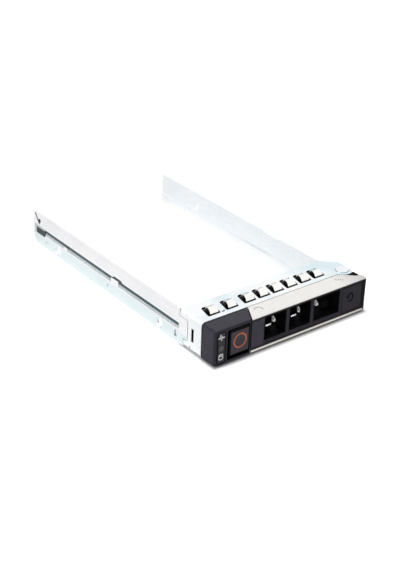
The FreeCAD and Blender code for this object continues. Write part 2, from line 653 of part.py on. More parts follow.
cut(right_rail, "top_notch", "X", RAIL_R - past, RAIL_R + SHEET + past, [outline([
    (size("notch_y"), TALL + past), (size("notch_y"), TALL), (size("notch_y") + 0.7, notch_low),
    (size("notch_y") + size("notch_l") - 0.7, notch_low), (size("notch_y") + size("notch_l"), TALL),
    (size("notch_y") + size("notch_l"), TALL + past),
])])
weld_front = rail_front + size("weld_in")
weld_rear = web_rear - size("weld_air")
weld_round = (weld_rear - weld_front) * 2 / 7
add(right_rail, "weld_flange", "Z", high_z - SHEET, high_z, [outline([
    (RAIL_R + step_x + SHEET / 2, weld_front), (BRACKET_R - SHEET - 0.3, weld_front, weld_round),
    (BRACKET_R - SHEET - 0.3, weld_rear, weld_round), (RAIL_R + step_x + SHEET / 2, web_rear + 2.2),
])])
screw_holes(right_rail, RAIL_R + SHEET, -1)
cut(right_rail, "guide_hole", "X", RAIL_R - past, RAIL_R + SHEET + past, [
    circle(size("hole_front_y") + size("hole_pitch") - size("guide_y"), TALL / 2 + 0.8, 1.3)])

# --- light pipes ------------------------------------------------------------

pipe_x = size("pipe_in")
pipe_t = size("pipe_t")
dive_x = size("dive_x")
dive_end = size("dive_y") - size("dive_l")
riser_y = size("led_in") + size("led_t") + 0.2
pipe_rear = RAIL_END - size("pipe_end")
pipe_plan = outline([
    (pipe_x, pipe_rear), (pipe_x, size("dive_y"), 3.0), (dive_x, dive_end, 3.0), (dive_x, riser_y),
    (dive_x + pipe_t, riser_y), (dive_x + pipe_t, dive_end, 3.0), (pipe_x + pipe_t, size("dive_y"), 3.0),
    (pipe_x + pipe_t, pipe_rear),
])
riser_rear = riser_y + size("riser_d")
riser_low = size("led_low") + size("riser_foot")
riser_high = size("led_low") + size("led_tall") - size("riser_head")
lower_pipe = new_body("light_pipe_lower")
add(lower_pipe, "run", "Z", PIPE_LOW, PIPE_LOW + size("pipe_tall"), [pipe_plan], "sizes.pipe_tall")
add(lower_pipe, "riser", "Z", riser_low, PIPE_LOW + size("pipe_tall"),
    [rectangle(dive_x, dive_x + pipe_t, riser_y, riser_rear)])
upper_pipe = new_body("light_pipe_upper")
add(upper_pipe, "run", "Z", PIPE_HIGH - size("pipe_tall"), PIPE_HIGH, [pipe_plan], "sizes.pipe_tall")
add(upper_pipe, "riser", "Z", PIPE_HIGH - size("pipe_tall"), riser_high,
    [rectangle(dive_x, dive_x + pipe_t, riser_y, riser_rear)])

# --- rear clip of the light pipes -------------------------------------------

clip = new_body("light_pipe_rear_clip")
fit = size("cap_fit")
add(clip, "block", "X", fit, SHEET + size("lap"), [rectangle(
    slot_rear + 0.1, clip_rear - 0.1, clip_low + 0.1, clip_high - 0.1, 0.4)])
web_rear_y = RAIL_END - size("web_end")
add(clip, "web", "X", SHEET + size("lap"), SHEET + size("lap") + 0.9, [rectangle(
    web_rear_y - size("clip_web_l"), web_rear_y, clip_low - 1.0, TALL - 0.8, 0.5)])
cut(clip, "pipe_way", "X", size("pipe_in") - 0.06, SHEET + past, [rectangle(
    slot_rear - past, pipe_rear + 0.06, PIPE_LOW - 0.06, PIPE_HIGH + 0.06)])

# --- end cap ----------------------------------------------------------------

cap = new_body("end_housing")
deep = size("fascia_d")
add(cap, "block", "Z", 0, TALL, [outline([
    (0, 0, size("cap_corner")), (size("cap_front"), 0), (size("cap_back"), deep), (0, deep),
])], "sizes.fascia_tall")


def outer_edge(edge):
    """Top and bottom edges of the block along its front and its left side."""
    box = edge.BoundBox
    flat = box.ZLength < 1e-6
    level = abs(box.ZMin) < 1e-6 or abs(box.ZMin - TALL) < 1e-6
    local_x = box.XMin + size("fascia_w") / 2
    local_y = box.YMax + size("tray_l") / 2
    at_front = local_y < 1e-6
    at_left = local_x < 1e-6 and box.XLength < 1e-6
    corner = box.XLength > 1e-6 and box.YLength > 1e-6 and box.XLength < 2.5
    return flat and level and (at_front or at_left or corner)


soften(cap, "soft_edges", "sizes.cap_round", outer_edge)
tail_low = SHEET + fit
tail_high = PLATE_LOW - fit
tail_rear = FRONT + size("cap_tail")
add(cap, "tail", "Y", deep - 0.5, tail_rear, [rectangle(
    SHEET + fit, size("cap_back") - 0.9, tail_low, tail_high, inner + 0.1)])
roof_high = PLATE_LOW - size("roof_air")
roof_low = roof_high - size("roof_t")
roof_rear = WIN_Y + size("win_d") + size("roof_more")
add(cap, "roof", "Z", roof_low, roof_high, [rectangle(
    SHEET + inner + 0.8, size("cap_back") - 0.9, tail_rear - 0.5, roof_rear, 0.4)])
snap_x = SHEET + fit
add(cap, "snap_arm", "Z", size("slot_low") + 0.1, size("slot_high") - 0.1, [outline([
    (snap_x, tail_rear - 0.5), (snap_x, slot_y - size("slot_w") / 2 + 0.1), (0.3, slot_y - size("slot_w") / 2 + 0.1),
    (0.3, slot_y), (snap_x, slot_y + size("slot_w") / 2 - 0.1), (snap_x, slot_y + 1.5),
    (snap_x + size("snap_t"), slot_y + 1.5), (snap_x + size("snap_t"), tail_rear - 0.5),
])])
cut(cap, "led_recess", "Y", 0, size("led_in") + size("led_t"), [rectangle(
    size("led_x"), size("led_x") + size("led_w"), size("led_low"), size("led_low") + size("led_tall"), size("led_round"))])
guide = 0.25
cut(cap, "riser_way", "Y", 0, riser_rear + guide, [rectangle(
    dive_x - guide, dive_x + pipe_t + guide, riser_low - guide, riser_high + guide)])
cut(cap, "pipe_way", "Y", 0, slot_y + 3.0, [rectangle(
    dive_x - guide, dive_x + pipe_t + guide, PIPE_LOW - guide, PIPE_HIGH + guide)])
cut(cap, "button_well", "Y", -past, size("well_d"), [rectangle(
    size("well_x"), size("well_x") + size("well_w"), size("well_low"), size("well_low") + size("well_tall"), 0.6)])
latch_air = size("tooth_air")
cut(cap, "latch_way", "X", size("well_x") + size("well_w") - 0.5, size("cap_back") + past, [rectangle(
    size("tooth_front") - latch_air, deep - 0.1,
    size("latch_low") - latch_air, size("latch_low") + size("latch_t") + latch_air)])

# --- status window and sensor lens ------------------------------------------

window_body = new_body("led_window")
edge_fit = 0.04
dot_x = size("led_x") + size("led_w") / 2 - 0.1
add(window_body, "pane", "Y", size("led_in"), size("led_in") + size("led_t"), [rectangle(
    size("led_x") + edge_fit, size("led_x") + size("led_w") - edge_fit,
    size("led_low") + edge_fit, size("led_low") + size("led_tall") - edge_fit, size("led_round"))], "sizes.led_t")
cut(window_body, "lens_seat", "Y", 0, size("led_in") + 0.2, [circle(dot_x, size("dot_z"), size("dot_r"))])
lens = new_body("led_lens")
add(lens, "disc", "Y", size("led_in") - 0.05, size("led_in") + 0.2, [circle(dot_x, size("dot_z"), size("dot_r") - edge_fit)])

# --- release button with its ring -------------------------------------------

button = new_body("release_button")
btn_left = size("btn_x")
btn_right = btn_left + size("btn_w")
btn_low = size("btn_low")
btn_high = btn_low + size("btn_tall")
face_y = size("btn_in")
back_y = face_y + size("btn_t")
add(button, "face", "Y", face_y, back_y, [outline([
    (btn_left, btn_low, 0.5), (btn_right, btn_low, 0.5), (btn_right, btn_high, 0.5), (btn_left, btn_high, size("btn_round")),
])], "sizes.btn_t")
ring_x = btn_left + size("btn_w") / 2 + 0.55
ring_z = btn_low + size("btn_tall") / 2 - 0.2
ring_out = size("ring_r") + size("ring_w") / 2
ring_in = size("ring_r") - size("ring_w") / 2
cut(button, "ring_groove", "Y", 0, face_y + size("ring_d"), [circle(ring_x, ring_z, ring_out), circle(ring_x, ring_z, ring_in)])
stem_left = size("stem_x")
stem_rear = back_y + size("stem_l")
add(button, "stem", "Y", back_y - 0.2, stem_rear, [rectangle(
    stem_left, stem_left + size("stem_w"), size("stem_low"), size("stem_low") + size("stem_tall"), 0.3)])
peg_x = stem_left + size("stem_w") / 2
peg_y = size("peg_y")
add(button, "peg", "Z", size("latch_low") + 0.2, size("stem_low") + 0.3, [circle(peg_x, peg_y, size("peg_r"))])
seat_x = btn_left + size("btn_w") / 2
add(button, "spring_spigot", "Y", back_y - 0.2, back_y + 0.9, [circle(
    seat_x, size("spring_z"), size("spring_r") - size("spring_wire") / 2 - 0.15)])
ring = new_body("button_ring")
add(ring, "ring", "Y", face_y - 0.03, face_y + size("ring_d"), [
    circle(ring_x, ring_z, ring_out - 0.02), circle(ring_x, ring_z, ring_in + 0.02)])

# --- button spring: wire wound on a helix, drawn as short chords --------------

coil_start = back_y + size("spring_wire") / 2 + 0.03
coil_end = size("well_d") - size("spring_wire") / 2 - 0.03
chords = 10
steps = int(round(size("spring_turns") * chords))
coil_points = []
for index in range(steps + 1):
    turn = 2 * math.pi * index / chords
    along = coil_start + (coil_end - coil_start) * index / steps
    coil_points.append(Vector(
        seat_x + size("spring_r") * math.cos(turn), along, size("spring_z") + size("spring_r") * math.sin(turn)))
sides = 6
first_chord = (coil_points[1] - coil_points[0]).normalize()
out_line = Vector(1, 0, 0)
out_line = (out_line - first_chord * out_line.dot(first_chord)).normalize()
up_line = first_chord.cross(out_line)
corner_points = []
for index in range(sides + 1):
    turn = 2 * math.pi * (index % sides) / sides
    across = out_line * math.cos(turn) + up_line * math.sin(turn)
    corner_points.append(coil_points[0] + across * (size("spring_wire") / 2))
path = Part.makePolygon(coil_points)
coil = path.makePipeShell([Part.makePolygon(corner_points)], True, False, 1)
spring = doc.addObject("Part::Feature", "button_spring")
spring.Shape = coil
place(spring, "button_spring")

# --- latch slide, driven by the peg through a 45 degree slot ------------------

latch = new_body("latch_slide")
latch_low = size("latch_low")
latch_high = latch_low + size("latch_t")
latch_left = size("latch_x")
latch_rear = size("latch_front") + size("latch_d")
tooth_rear = size("tooth_front") + size("tooth_d")
latch_right = latch_left + size("latch_l")
add(latch, "slide", "Z", latch_low, latch_high, [outline([
    (latch_left, size("latch_front"), 0.4), (latch_right, size("latch_front"), 0.4), (latch_right, size("tooth_front")),
    (size("tooth_x") - 0.7, size("tooth_front")), (size("tooth_x"), size("tooth_front") + 0.7),
    (size("tooth_x"), tooth_rear), (latch_right, tooth_rear), (latch_right, latch_rear, 0.4), (latch_left, latch_rear, 0.4),
])], "sizes.latch_t")
run = size("btn_travel") + size("peg_fit")
slot_r = size("peg_r") + size("peg_fit")
side = slot_r / math.sqrt(2)
near = (peg_x - side, peg_y + side)
near_low = (peg_x + side, peg_y - side)
cut(latch, "cam_slot", "Z", latch_low - past, latch_high, [[
    line(near, (near[0] + run, near[1] + run)),
    arc_through((near[0] + run, near[1] + run), (peg_x + run + side, peg_y + run + side), (near_low[0] + run, near_low[1] + run)),
    line((near_low[0] + run, near_low[1] + run), near_low),
    arc_through(near_low, (peg_x - side, peg_y - side), near),
]])

# --- handle cover: folded sheet ----------------------------------------------

cover = new_body("handle_cover")
lever_low = size("lever_low")
wide = size("fascia_w")
end_d = size("cover_end_d")
edge_turn = math.radians(size("cover_turn"))


def slant_x(y):
    """X of the cover's slanted rear edge at depth y: a line at cover_r from the pivot."""
    return PIVOT[0] + (size("cover_r") + (y - PIVOT[1]) * math.sin(edge_turn)) / math.cos(edge_turn)


add(cover, "top", "Z", TALL - size("cover_t"), TALL, [outline([
    (lever_edge(0), 0), (wide, 0), (wide, end_d), (slant_x(end_d + 0.2), end_d + 0.2, 0.6),
    (slant_x(deep), deep, 0.8), (lever_edge(deep), deep),
])], "sizes.cover_t")
low_d = size("cover_low_d")
add(cover, "bottom", "Z", lever_low, lever_low + size("strip_t"), [outline([
    (lever_edge(0), 0), (wide, 0), (wide, end_d), (wide - 1.5, low_d), (lever_edge(low_d), low_d),
])], "sizes.strip_t")
add(cover, "right_end", "X", wide - size("cover_t"), wide, [rectangle(0, end_d, lever_low, TALL)], "sizes.cover_t")

# --- handle grille with its hub ----------------------------------------------

grille = new_body("handle_grille")
skin = size("grille_fit")
grille_low = lever_low + size("strip_t") + skin
grille_high = TALL - size("cover_t") - skin
grille_right = wide - size("cover_t") - skin
grille_front = size("grille_in")
grille_back = size("grille_d")
pad_rear = size("pad_d")
pad_x = wide - size("pad_back")
add(grille, "block", "Z", grille_low, grille_high, [outline([
    (lever_edge(grille_front), grille_front), (grille_right, grille_front), (grille_right, pad_rear - 0.2),
    (grille_right - 0.6, pad_rear), (pad_x, pad_rear), (pad_x - 1.6, grille_back),
    (lever_edge(grille_back), grille_back),
])])
hatch_left = size("hatch_x")
step = size("hatch_w") + size("mullion")
hatch_low = grille_low + size("hatch_sill")
hatch_high = grille_high - size("hatch_lintel")
hatch_r = size("hatch_round")
hatch_last = size("hatch_w") + size("hatch_more")
hatches = [
    rectangle(hatch_left, hatch_left + size("hatch_w"), hatch_low, hatch_high, hatch_r),
    rectangle(hatch_left + step, hatch_left + step + size("hatch_w"), hatch_low, hatch_high, hatch_r),
    rectangle(hatch_left + 2 * step, hatch_left + 2 * step + hatch_last, hatch_low, hatch_high, hatch_r),
]
cut(grille, "windows", "Y", -past, grille_back + past, hatches)
pad_left = hatch_left + 2 * step + hatch_last + 1.2
cut(grille, "pad_line", "Y", -past, grille_front + 0.2, [
    rectangle(pad_left, grille_right - 1.0, grille_low + 0.9, grille_high - 0.9, 0.8),
    rectangle(pad_left + 0.3, grille_right - 1.3, grille_low + 1.2, grille_high - 1.2, 0.6)])
hub_low = SHEET + size("hub_air")
hub_high = PLATE_LOW - size("hub_air")
cam_low = size("cam_low")
cam_high = cam_low + size("cam_t")
arm_left = PIVOT[0] - size("hub_r")
arm_plan = outline([
    (arm_left, pad_rear - 0.4), (arm_left + size("arm_w"), pad_rear - 0.4),
    (PIVOT[0] + size("hub_r"), PIVOT[1]), (arm_left, PIVOT[1]),
])
low_arm = (max(hub_low, grille_low), cam_low - size("cam_air"))
high_arm = (cam_high + size("cam_air"), min(hub_high, grille_high))
for name, (low, high) in (("low", low_arm), ("high", high_arm)):
    add(grille, "arm_" + name, "Z", low, high, [arm_plan])
    add(grille, "hub_" + name, "Z", low, high, [circle(PIVOT[0], PIVOT[1], size("hub_r"))])
cut(grille, "bore", "Z", 0, TALL, [circle(PIVOT[0], PIVOT[1], size("pin_r") + size("pin_fit"))])

# --- ejector cam --------------------------------------------------------------

cam = new_body("ejector_cam")
tail_front = pad_rear + 0.1
add(cam, "tail", "Z", cam_low, cam_high, [outline([
    (arm_left + 0.6, tail_front), (arm_left + 3.2, tail_front), (PIVOT[0] + 0.4, PIVOT[1] - size("hub_r") + 0.6),
    (PIVOT[0] + 0.4, PIVOT[1]), (arm_left + 0.6, PIVOT[1] - 0.9),
])], "sizes.cam_t")
tip = size("cam_tip")
add(cam, "hook", "Z", cam_low, cam_high, [outline([
    on_pivot(size("hub_r"), -5), on_pivot(tip, -53), on_pivot(tip + 0.3, -66), on_pivot(tip - 1.0, -80), on_pivot(1.0, -90),
])], "sizes.cam_t")
add(cam, "hub", "Z", cam_low, cam_high, [circle(PIVOT[0], PIVOT[1], size("hub_r") - 0.1)], "sizes.cam_t")
cut(cam, "bore", "Z", 0, TALL, [circle(PIVOT[0], PIVOT[1], size("pin_r") + size("pin_fit"))])

# --- catch on the handle's left end --------------------------------------------

catch = new_body("handle_catch")
catch_low = latch_low + (size("latch_t") - size("catch_t")) / 2
catch_front = grille_back + 0.02
catch_rear = catch_front + size("catch_d")
catch_tip = lever_edge(catch_front) - size("catch_out")
add(catch, "catch", "Z", catch_low, catch_low + size("catch_t"), [outline([
    (catch_tip, catch_front), (catch_tip + size("catch_l"), catch_front), (catch_tip + size("catch_l"), catch_rear, 0.4),
    (catch_tip + 0.8, catch_rear), (catch_tip, catch_front + 0.5),
])], "sizes.catch_t")

# --- vented wall behind the handle ---------------------------------------------

wall = new_body("vent_wall")
wall_left = size("cap_back") - 0.9 + size("wall_side")
wall_right = PIVOT[0] - size("wall_end")
wall_low = SHEET + size("wall_fit")
wall_high = PLATE_LOW - size("wall_fit")
add(wall, "wall", "Y", FRONT, FRONT + size("wall_t"), [rectangle(wall_left, wall_right, wall_low, wall_high, 0.3)], "sizes.wall_t")
add(wall, "top_ledge", "Y", FRONT, WIN_Y - 0.3, [rectangle(wall_left, wall_right, roof_high - 0.3, wall_high)])
add(wall, "roof", "Z", roof_low, roof_high, [rectangle(wall_left, wall_right, FRONT + 0.2, roof_rear, 0.4)])
vent_low = size("vent_low")
vent_high = vent_low + size("vent_tall")
vent_x = hatch_left + size("vent_first")
for index, move in enumerate((0, size("vent_step"), size("vent_last"))):
    vent_x += move
    cut(wall, "vent_%d" % (index + 1), "Y", FRONT - past, FRONT + size("wall_t") + past, [
        outline([(vent_x - 0.9, vent_high, 0.25), (vent_x - 0.7, vent_low + 0.9, 0.4), (vent_x + 0.5, vent_low, 0.3),
                 (vent_x + 1.4, vent_low, 0.3), (vent_x + 1.5, vent_low + 0.7, 0.4), (vent_x, vent_high, 0.25)]),
        rectangle(vent_x - 3.8, vent_x - 3.8 + size("dash_w"), size("dash_low"), size("dash_low") + size("dash_tall"), 0.25)])

# --- pivot pin ------------------------------------------------------------------

shank = doc.addObject("Part::Cylinder", "pin_shank")
shank.setExpression("Radius", "sizes.pin_r")
shank.setExpression("Height", "sizes.fascia_tall + sizes.head_t / 2")
head = doc.addObject("Part::Cylinder", "pin_head")
head.setExpression("Radius", "sizes.head_r")
head.setExpression("Height", "sizes.head_t")
head.setExpression("Placement.Base.z", "sizes.fascia_tall")
pin = doc.addObject("Part::Fuse", "pivot_pin")
pin.Base = shank
pin.Tool = head
pin.Label = "pivot_pin"
pin.setExpression("Placement.Base.x", "sizes.fascia_w / 2 - sizes.pivot_in")
pin.setExpression("Placement.Base.y", "sizes.pivot_y - sizes.tray_l / 2")
PARTS.append(pin)

# --- check and write --------------------------------------------------------------

doc.recompute()
for item in doc.Objects:
    if "Invalid" in item.State or "Error" in item.State:
        raise ValueError("%s is %s" % (item.Label, item.State))
for item in PARTS:
    shape = item.Shape
    if shape.isNull() or not shape.isValid():
        raise ValueError(item.Label + " has no valid shape")
    box = shape.BoundBox
    print("%-22s solids %d volume %9.2f  X %7.2f %7.2f  Y %7.2f %7.2f  Z %6.2f %6.2f" % (
        item.Label, len(shape.Solids), shape.Volume, box.XMin, box.XMax, box.YMin, box.YMax, box.ZMin, box.ZMax))
for item in PARTS:
    item.Shape.exportStep("parts/%s.step" % item.Label)
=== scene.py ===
# %% [markdown]
# # A hot swap drive caddy
# The caddy is a folded steel tray for a 2.5-inch drive, with a black fascia.
# The fascia has a push button at the left and a handle that swings out at the right.
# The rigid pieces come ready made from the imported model.
# This lesson gives each of them a finish and adds the printed and embossed marks.

# %% Load the rigid pieces
import math
import bmesh
import bpy
import numpy as np
from mathutils import Matrix, Vector


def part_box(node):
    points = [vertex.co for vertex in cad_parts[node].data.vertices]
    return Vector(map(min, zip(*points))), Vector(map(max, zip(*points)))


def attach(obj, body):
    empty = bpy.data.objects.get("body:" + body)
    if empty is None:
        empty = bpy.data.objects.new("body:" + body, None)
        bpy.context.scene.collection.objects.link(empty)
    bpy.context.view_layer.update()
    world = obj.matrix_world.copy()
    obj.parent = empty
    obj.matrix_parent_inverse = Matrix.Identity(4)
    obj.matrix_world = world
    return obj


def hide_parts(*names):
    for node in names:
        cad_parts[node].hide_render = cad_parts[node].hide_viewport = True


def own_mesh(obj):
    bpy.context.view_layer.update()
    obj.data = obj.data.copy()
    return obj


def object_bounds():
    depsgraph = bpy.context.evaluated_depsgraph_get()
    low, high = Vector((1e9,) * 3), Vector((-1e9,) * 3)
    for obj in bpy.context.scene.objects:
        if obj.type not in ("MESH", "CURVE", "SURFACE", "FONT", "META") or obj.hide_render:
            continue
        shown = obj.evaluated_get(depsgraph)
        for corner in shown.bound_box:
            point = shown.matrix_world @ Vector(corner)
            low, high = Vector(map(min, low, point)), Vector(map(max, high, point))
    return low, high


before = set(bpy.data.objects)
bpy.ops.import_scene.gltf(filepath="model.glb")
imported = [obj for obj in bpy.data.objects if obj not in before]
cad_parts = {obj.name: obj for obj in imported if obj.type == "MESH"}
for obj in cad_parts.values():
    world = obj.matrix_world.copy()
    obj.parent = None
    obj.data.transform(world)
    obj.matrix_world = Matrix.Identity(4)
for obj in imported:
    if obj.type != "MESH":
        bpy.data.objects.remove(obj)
cad_bounds = [list(corner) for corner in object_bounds()]

# %% [markdown]
# ## Where things are
# The marks are laid out on the fascia the way a maker's drawing would show them.
# Distances run in millimetres from the fascia's left end, its front and the underside.
# One small function turns such a place into metres about the caddy's middle.
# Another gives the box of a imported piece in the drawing's millimetres, so that the finishes can follow it.

# %% Places on the fascia
MM = 0.001
FASCIA_LEFT, FASCIA_FRONT = cad_bounds[0][0], cad_bounds[0][1]


def at(x, y, z):
    """Metres from millimetres: left end, front and underside are zero."""
    return np.stack(np.broadcast_arrays(
        np.asarray(x) * MM + FASCIA_LEFT, np.asarray(y) * MM + FASCIA_FRONT, np.asarray(z) * MM), axis=-1)


def drawn_box(name):
    """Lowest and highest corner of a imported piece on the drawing: place less origin, over MM."""
    return [(np.array(corner) - at(0, 0, 0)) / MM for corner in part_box(name)]


pin_low, pin_high = drawn_box("pivot_pin")
PIVOT_X, PIVOT_Y = (pin_low[:2] + pin_high[:2]) / 2
PIN_RADIUS = (pin_high[0] - pin_low[0]) / 2
FASCIA_RIGHT, _, FASCIA_TOP = drawn_box("handle_cover")[1]
print("pivot at %.1f, %.1f mm" % (PIVOT_X, PIVOT_Y))
print("fascia %.1f mm wide and %.1f mm tall" % (FASCIA_RIGHT, FASCIA_TOP))

# %% [markdown]
# ## The camera
# A long lens stands at the front left and looks down on the fascia.
# It is placed by three turns and a point, so its matrix is built from those.
# The frame is upright, and the caddy fills its middle.

# %% Camera
AZIMUTH, ELEVATION, ROLL = (math.radians(turn) for turn in (38.3715, 28.2939, 1.8739))
CAMERA_PLACE = (-0.28667, -0.36858, 0.24593)
rightwards = Vector((math.cos(AZIMUTH), -math.sin(AZIMUTH), 0.0))
ahead = Vector((
    math.sin(AZIMUTH) * math.cos(ELEVATION), math.cos(AZIMUTH) * math.cos(ELEVATION), -math.sin(ELEVATION)))
upright = rightwards.cross(ahead)
side = rightwards * math.cos(ROLL) + upright * math.sin(ROLL)
top = upright * math.cos(ROLL) - rightwards * math.sin(ROLL)
lens = bpy.data.cameras.new("camera")
lens.lens = 76.64
lens.sensor_width = 36.0
lens.clip_start = 0.01
camera = bpy.data.objects.new("camera", lens)
bpy.context.scene.collection.objects.link(camera)
turned = Matrix((side, top, -ahead)).transposed().to_4x4()
camera.matrix_world = Matrix.Translation(CAMERA_PLACE) @ turned
bpy.context.scene.camera = camera
print("camera at", tuple(round(v, 4) for v in camera.matrix_world.translation))

# %% [markdown]
# ## Turning numbers into meshes
# Every new piece is a sheet of points on a grid, worked out as whole arrays.
# A function joins neighbouring points with four-sided faces.
# Closing the grid in one direction makes a tube or a ring, and a second function puts lids on a tube's ends.

# %% From a grid to a mesh
def sheet_of(name, points, close_u=False, close_v=False):
    """Mesh from points[u, v, 3]: one face for every four neighbours on the grid."""
    rows, columns = points.shape[:2]
    u = np.arange(rows if close_u else rows - 1)
    v = np.arange(columns if close_v else columns - 1)
    u, v = (grid.ravel() for grid in np.meshgrid(u, v, indexing="ij"))
    after_u, after_v = (u + 1) % rows, (v + 1) % columns
    corners = [(u, v), (after_u, v), (after_u, after_v), (u, after_v)]
    faces = np.stack([row * columns + column for row, column in corners], axis=1)
    mesh = bpy.data.meshes.new(name)
    mesh.vertices.add(rows * columns)
    mesh.vertices.foreach_set("co", points.reshape(-1).astype(np.float32))
    mesh.loops.add(faces.size)
    mesh.loops.foreach_set("vertex_index", faces.reshape(-1).astype(np.int32))
    mesh.polygons.add(len(faces))
    mesh.polygons.foreach_set("loop_start", (np.arange(len(faces)) * 4).astype(np.int32))
    mesh.update(calc_edges=True)
    piece = bpy.data.objects.new(name, mesh)
    bpy.context.scene.collection.objects.link(piece)
    return piece


def with_lids(piece):
    """Close the open ends of a tube with flat faces, and turn all faces outward."""
    shell = bmesh.new()
    shell.from_mesh(piece.data)
    bmesh.ops.holes_fill(shell, edges=[edge for edge in shell.edges if edge.is_boundary])
    bmesh.ops.recalc_face_normals(shell, faces=shell.faces)
    shell.to_mesh(piece.data)
    shell.free()
    return piece


FLOOR_REACH = 2.5
FLOOR_HEIGHT = -0.0002
floor_line = np.linspace(-FLOOR_REACH, FLOOR_REACH, 5)
floor_x, floor_y = np.meshgrid(floor_line, floor_line, indexing="ij")
floor = sheet_of("floor", np.stack([floor_x, floor_y, np.full_like(floor_x, FLOOR_HEIGHT)], axis=-1))
print("floor faces:", len(floor.data.polygons))

# %% [markdown]
# ## Finishes as node trees
# A finish is a Principled shader with a few nodes that vary it.
# These helpers keep the trees readable: one adds a node and joins its sockets,
# one gives smooth random values on the piece's own coordinates,
# and one turns such values into a colour between two tones.

# %% Helpers for finishes
def new_finish(name, **settings):
    """A material with a Principled shader, its sockets set by name."""
    material = bpy.data.materials.new(name)
    material.use_nodes = True
    shader = material.node_tree.nodes["Principled BSDF"]
    for socket, value in settings.items():
        shader.inputs[socket.replace("_", " ")].default_value = value
    return material, shader


def node(owner, kind, links=(), **values):
    """Add a node to a material or world; links join outputs to its inputs, and values fill the rest."""
    made = owner.node_tree.nodes.new("ShaderNode" + kind)
    for key, value in values.items():
        if hasattr(made, key):
            setattr(made, key, value)
        else:
            made.inputs[key.replace("_", " ")].default_value = value
    for socket, source in links:
        owner.node_tree.links.new(source, made.inputs[socket])
    return made


def join(owner, source, target):
    """Join an output to an input."""
    owner.node_tree.links.new(source, target)


def place_on_piece(material, stretch=(1, 1, 1)):
    """The piece's own coordinates, in metres, stretched along each axis."""
    where = node(material, "TexCoord")
    return node(material, "Mapping", [("Vector", where.outputs["Object"])], Scale=stretch).outputs["Vector"]


def speckle(material, size_mm, detail=2.0, stretch=(1, 1, 1)):
    """Smooth random values with grains of about size_mm."""
    where = place_on_piece(material, stretch)
    grain = node(material, "TexNoise", [("Vector", where)], Scale=1.0 / (size_mm * MM), Detail=detail)
    return grain.outputs["Fac"]


def between(owner, value, low, high, span=(0.3, 0.7)):
    """Remap a value inside span to a number from low to high."""
    made = node(owner, "MapRange", [("Value", value)])
    made.inputs["From Min"].default_value, made.inputs["From Max"].default_value = span
    made.inputs["To Min"].default_value, made.inputs["To Max"].default_value = low, high
    return made.outputs["Result"]


def two_tone(material, value, dark, light, span=(0.35, 0.65)):
    """Colour from dark to light as the value crosses the span."""
    ramp = node(material, "ValToRGB", [("Fac", value)])
    ramp.color_ramp.elements[0].position, ramp.color_ramp.elements[1].position = span
    ramp.color_ramp.elements[0].color = (*dark, 1.0)
    ramp.color_ramp.elements[1].color = (*light, 1.0)
    return ramp.outputs["Color"]


def relief(material, shader, height, depth_mm, soft_mm):
    """Fine relief from a height value, over edges rounded by soft_mm."""
    bump = node(material, "Bump", [("Height", height)], Strength=1.0, Distance=depth_mm * MM)
    soft = node(material, "Bevel", samples=4, Radius=soft_mm * MM)
    join(material, soft.outputs["Normal"], bump.inputs["Normal"])
    join(material, bump.outputs["Normal"], shader.inputs["Normal"])


def dress(finish, *names):
    """Give CAD pieces a finish in their material slots."""
    for name in names:
        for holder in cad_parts[name].material_slots:
            holder.material = finish
    print(finish.name, "on", ", ".join(names))


print("slots to fill:", sum(len(piece.material_slots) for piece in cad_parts.values()))

# %% [markdown]
# ## Masks that follow the drawing
# Some finishes change from place to place: a cut edge is dark, a vent's inner face is bright.
# A mask says where: it is 1 there, 0 elsewhere, and falls off over a short way between.
# It comes from the drawing's coordinates or from the way a face is turned.
# Masks are multiplied to narrow them, and the larger of two is taken to add them up.
# An image could say the same, but a mask in millimetres stays sharp at any distance.

# %% Helpers for masks
def fade(owner, mask, at_zero, at_one):
    """Straight line between two numbers as a mask goes from 0 to 1."""
    return between(owner, mask, at_zero, at_one, (0.0, 1.0))


def product(owner, first, *others):
    """Values multiplied with one another."""
    for other in others:
        first = node(owner, "Math", [(0, first), (1, other)], operation="MULTIPLY").outputs[0]
    return first


def larger(owner, first, *others):
    """The largest of several values."""
    for other in others:
        first = node(owner, "Math", [(0, first), (1, other)], operation="MAXIMUM").outputs[0]
    return first


def coordinate(material, axis, start, end):
    """0 at the start and 1 at the end, both in mm on the drawing, along one axis."""
    origin = {"X": FASCIA_LEFT, "Y": FASCIA_FRONT, "Z": 0.0}[axis]
    where = node(material, "SeparateXYZ", [("Vector", place_on_piece(material))])
    return between(material, where.outputs[axis], 0.0, 1.0, (origin + start * MM, origin + end * MM))


def zone(material, *limits):
    """1 where all limits are passed: each gives an axis, the place where the mask is 0 and where it is 1."""
    return product(material, *(coordinate(material, *limit) for limit in limits))


def facing(material, axis):
    """How squarely a face is turned to an axis: the size of its normal's share along it, from 0 to 1."""
    normal = node(material, "NewGeometry").outputs["True Normal"]
    shares = node(material, "SeparateXYZ", [("Vector", normal)])
    return node(material, "Math", [(0, shares.outputs[axis])], operation="ABSOLUTE").outputs[0]


def upright_faces(material):
    """1 on upright faces, such as cut edges of level sheet, 0 on level ones."""
    return between(material, facing(material, "Z"), 1.0, 0.0, (0.3, 0.6))


def offset_from(material, place):
    """The way from a fixed place, in metres, to the point that is shaded."""
    offset = node(material, "VectorMath", [(0, place_on_piece(material))], operation="SUBTRACT")
    offset.inputs[1].default_value = place
    return offset.outputs["Vector"]


def length_of(material, vector):
    """A vector's length."""
    return node(material, "VectorMath", [(0, vector)], operation="LENGTH").outputs["Value"]


def painted_over(material, mask, tone, colour):
    """The tone where the mask is 0, and an even colour where it is 1."""
    mix = node(material, "Mix", [("Factor", mask), (6, tone)], data_type="RGBA")
    mix.inputs[7].default_value = (*colour, 1.0)
    return mix.outputs[2]


def dimmed(material, tone, share):
    """A tone times a number."""
    return node(material, "VectorMath", [(0, tone), ("Scale", share)], operation="SCALE").outputs["Vector"]


